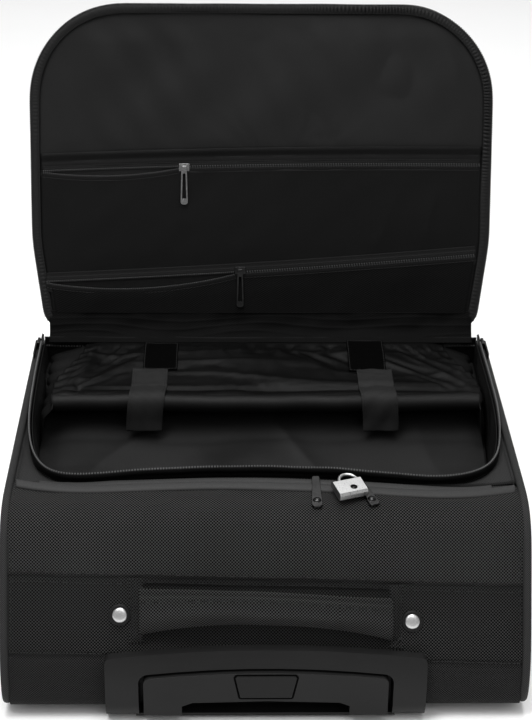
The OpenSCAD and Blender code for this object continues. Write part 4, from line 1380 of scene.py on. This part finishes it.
def make_lid_zippers(mat):
    """The two lid pockets' zippers, closed up to their sliders and open beyond."""
    for word, ends, opened, inset, n in (("upper", UPPER_ZIP, UPPER_OPEN, 11, 1.9),
                                         ("lower", LOWER_ZIP, LOWER_OPEN, 13, 3.6)):
        half = LID_W / 2 - inset
        xs = np.linspace(-half, half, 200)
        f = np.linspace(-1, 1, 10)
        line, drop = zip_s(ends, xs), sag_of(opened, xs)
        for part, direction in (("top", 1), ("bottom", -1)):
            away = (0.2 + 5.0 * (direction * f[None] + 1))
            s = line[:, None] + direction * away - (drop[:, None] if direction < 0 else 0)
            p = on_lid(xs[:, None], s, n + 0.2 - smooth(away, 3, 7))
            lay(sheet("%s_tape_%s" % (word, part), p, mat["tape"], 0.5), "lid", "nylon_trim",
                (round(2 * half * MM, 3), 0.0101), "stretched", "lid_lining_cloth")
        cut = int(np.argmax(xs > opened[0]))
        teeth = beads(word + "_zip_teeth", on_lid(xs, line, n + 0.1)[cut:], LID_OUT, 2.6,
                      (1.3, 3.4, 0.7), mat["coil"], slant=0.12)
        ride(teeth, "lid", "zip_teeth", word + "_zip_chain")
        for part, row in (("top", line + 0.9), ("bottom", line - 0.9 - drop)):
            half_teeth = beads("%s_zip_teeth_%s" % (word, part), on_lid(xs, row, n + 0.1)[:cut],
                               LID_OUT, 2.0, (1.1, 1.9, 0.7), mat["coil"])
            ride(half_teeth, "lid", "zip_teeth")
        for part, row in (("top", line + 5.4), ("bottom", line - 5.4 - drop)):
            sew(mat, "%s_zip_stitch_%s" % (word, part), on_lid(xs, row, n + 0.1), LID_OUT, 3.4,
                (2.2, 0.6, 0.35), "lid")


def make_lid_edge(mat):
    """The gathered binding round the lid, its stitches and the open zipper's teeth."""
    path = lid_path(0, 1500, 6.0)
    out = edge_out(path)
    length = step_lengths(path)
    gathered = smooth(path[:, 0], -160, 60) * smooth(path[:, 1], 60, 150) + 0.25
    f = np.linspace(0, 1, 9)
    rib = np.sin(2 * math.pi * length / 3.6 + 3.2 * np.sin(length / 13)) \
        * (0.7 + 0.5 * np.sin(length / 31))
    width = 8.4 + 0.7 * sway(length, 0, 151, 90)
    inset = (0.3 + width[:, None] * f[None])
    x = path[:, None, 0] - out[:, None, 0] * inset
    s = path[:, None, 1] - out[:, None, 1] * inset
    n = (1.1 + 1.5 * np.sin(math.pi * f[None]) ** 0.7 + 0.8 * (rib * gathered)[:, None]
         * np.sin(math.pi * f[None]))
    band = sheet("lid_edge_tape", on_lid(x, s, n), mat["edge_tape"], 0.7)
    ride(band, "lid", "nylon_trim", "lid_binding")
    line = path - out * 0.2
    side = lid_across(out)
    teeth = beads("lid_zip_teeth", on_lid(line[:, 0], line[:, 1], -0.8)[6:-6], side[6:-6], 2.3,
                  (1.2, 3.0, 2.0), mat["coil"])
    ride(teeth, "lid", "zip_teeth", "lid_zipper_chain")
    sew(mat, "lid_edge_stitch", on_lid(path[:, 0] - out[:, 0] * 7.8, path[:, 1] - out[:, 1] * 7.8,
                                       2.2), LID_OUT, 3.4, (2.2, 0.6, 0.4), "lid")


def make_lid_shell(mat):
    """The lid's outside: its gusset, piping, back panel and flat pocket."""
    path = lid_path(-0.4, 300, 4.0)
    out = edge_out(path)
    length = step_lengths(path)
    f = np.linspace(0, 1, 24)
    belly = np.sin(math.pi * f) ** 0.6 * 0.8 - 0.6 * bump(f, 0.28, 0.03)
    n = -0.5 - (LID_DEPTH - 2.4) * f
    lift = belly[None] + 0.5 * sway(length[:, None], n[None] * 3, 157, 80) \
        * np.sin(math.pi * f)[None]
    x = path[:, None, 0] + out[:, None, 0] * lift
    s = path[:, None, 1] + out[:, None, 1] * lift
    wall = sheet("lid_gusset_nylon", on_lid(x, s, n[None])[:, ::-1], mat["nylon"], 1.4)
    ride(wall, "lid", "nylon", "lid_gusset")
    rim = on_lid(path[:, 0], path[:, 1], LID_PIPING_N)
    cord = sweep("lid_piping", rim, lid_across(out), -LID_OUT, oval(4.2, 4.2), mat["nylon_trim"])
    ride(cord, "lid", "nylon_trim")

    def puffed(name, inset, s_top, depth, puff, seed, node, columns, rows):
        x, s = lid_field(inset, level(6.0), level(s_top), columns, rows)
        edge = np.minimum(np.minimum(span_gap(x, s, inset), s - 5), s_top - s)
        n = -depth - puff * smooth(edge, 0, 26) \
            - 0.6 * smooth(edge, 4, 40) * (sway(x, s, seed, 150) + crease(x, s, 0.3, 90, seed + 1))
        p = on_lid(x, s, n)
        panel = sheet(name, p[::-1], mat["nylon"], 1.4)
        ride(panel, "lid", "nylon", node)

    puffed("lid_back_nylon", 1.5, LID_LEN - 1.5, 27.0, 1.6, 163, "lid_outer_panel", 150, 110)
    puffed("outer_pocket_nylon", 22, 250, 29.2, 2.0, 167, "outer_pocket", 130, 80)
    xs = np.linspace(-208, 208, 200)
    row = on_lid(xs, 251.5, -30.0)
    teeth = beads("outer_pocket_zip", row, -LID_OUT, 2.2, (1.2, 4.0, 1.2), mat["coil"])
    ride(teeth, "lid", "zip_teeth")


def span_gap(x, s, inset):
    """Distance to the lid's side edge."""
    outline = rounded(LID_CORNERS, inset)
    safe = np.clip(s, outline[:, 1].min() + 0.01, outline[:, 1].max() - 0.01)
    return span(outline, safe.ravel(), 1)[1].reshape(s.shape) - np.abs(x)


def make_hinge(mat):
    """The hinge's nylon strip and the pleated lining over it."""
    xs = np.linspace(-221, 221, 150)
    path = resample([(386.5, 180.5), (391, 186.0), (394.5, 191.0), (397.2, 196.0), (399, 201.0),
                     (400.2, 206.0)], 24)
    x, y, z = xs[:, None], path[None, :, 0], path[None, :, 1]
    wave = 0.8 * sway(x, z * 2, 173, 60) * bump(z, 193, 8)
    web = sheet("hinge_web", grid_of(x, y - wave, z), mat["nylon_fine"], 1.2)
    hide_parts("hinge_strip")
    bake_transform(web)
    path = resample([(381, 186.0), (386.5, 188.2), (391.0, 191.5), (394.2, 196.0), (396.4, 201.0),
                     (398.4, 207.0), (400.4, 213.0)], 40)
    y, z = path[None, :, 0], path[None, :, 1]
    reach = step_lengths(path)[None]
    pleats = (0.9 * np.sin(x / 5.5 + 1.5 * sway(x, reach, 179, 70))
              + 0.8 * sway(x, reach * 3, 181, 50)
              + 1.2 * crease(x * 0.2, reach, 0.0, 9, 183)) * np.sin(math.pi * reach / reach[0, -1])
    soft = sheet("hinge_lining", grid_of(x, y - 0.6 * pleats, z + 0.5 * pleats), mat["mesh"], 0.8)
    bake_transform(soft)


# ---------------------------------------------------------------- stage
def make_stage():
    """A pale floor, an even sky and four lamps."""
    material, tree = blank("studio_floor")
    place = add_node(tree, "ShaderNodeTexCoord").outputs["Object"]
    principled(ramp(tree, noise_of(tree, place, 3.0), grey(0.86), grey(0.9)),
               Roughness=0.9)
    mesh = bpy.data.meshes.new("studio_floor")
    reach = 14.0
    mesh.from_pydata([(-reach, -reach, 0), (reach, -reach, 0), (reach, reach, 0),
                      (-reach, reach, 0)], [], [(0, 1, 2, 3)])
    mesh.materials.append(material)
    floor = bpy.data.objects.new("studio_floor", mesh)
    bpy.context.scene.collection.objects.link(floor)
    world = bpy.data.worlds.new("studio")
    world.use_nodes = True
    world.node_tree.nodes["Background"].inputs[0].default_value = (1, 1, 1, 1)
    world.node_tree.nodes["Background"].inputs[1].default_value = 0.55
    bpy.context.scene.world = world
    bpy.context.scene.view_settings.view_transform = "Standard"
    lamps = (("key", (-0.7, -0.9, 2.2), 24, 0.8), ("front", (0.5, -1.5, 1.8), 7, 1.0),
             ("top", (0.0, -0.2, 2.4), 44, 1.2), ("back", (0.2, 1.4, 2.5), 14, 1.4))
    for name, spot, power, size in lamps:
        lamp = bpy.data.lights.new(name, "AREA")
        lamp.energy = power
        lamp.size = size
        source = bpy.data.objects.new(name, lamp)
        source.location = spot
        aim = Vector((0, 0, 0.15)) - Vector(spot)
        source.rotation_euler = aim.to_track_quat("-Z", "Y").to_euler()
        bpy.context.scene.collection.objects.link(source)


def paint_frame(mat):
    """CAD nodes that stay in sight take the finish of their material slot."""
    plain = {"back_board": "board", "lid_board": "board", "outer_tubes": "tube",
             "mid_tubes": "tube", "inner_tubes": "tube", "axles": "steel",
             "lock_rods": "steel", "upper_zip_chain": "zip_teeth"}
    for node, finish in plain.items():
        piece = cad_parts[node]
        piece.data.materials.clear()
        piece.data.materials.append(mat[finish])


place_camera()
finishes = make_materials()
paint_frame(finishes)
for make in (make_shell, make_sides, make_piping, paint_middle_panel, make_top_edge, make_rim,
             make_side_flaps, make_inner_lining, make_back_lining, make_divider):
    make(finishes)
pad_surface = make_pad(finishes)
make_gussets(finishes)
make_hook_patches(finishes, pad_surface)
make_straps(finishes, pad_surface)
for make in (make_handle, make_handle_patches, make_rivets, make_trolley, make_lock,
             make_hardware, make_tyres, make_lid_inside, make_lid_zippers, make_lid_edge,
             make_lid_shell, make_hinge, make_seams):
    make(finishes)
make_stage()
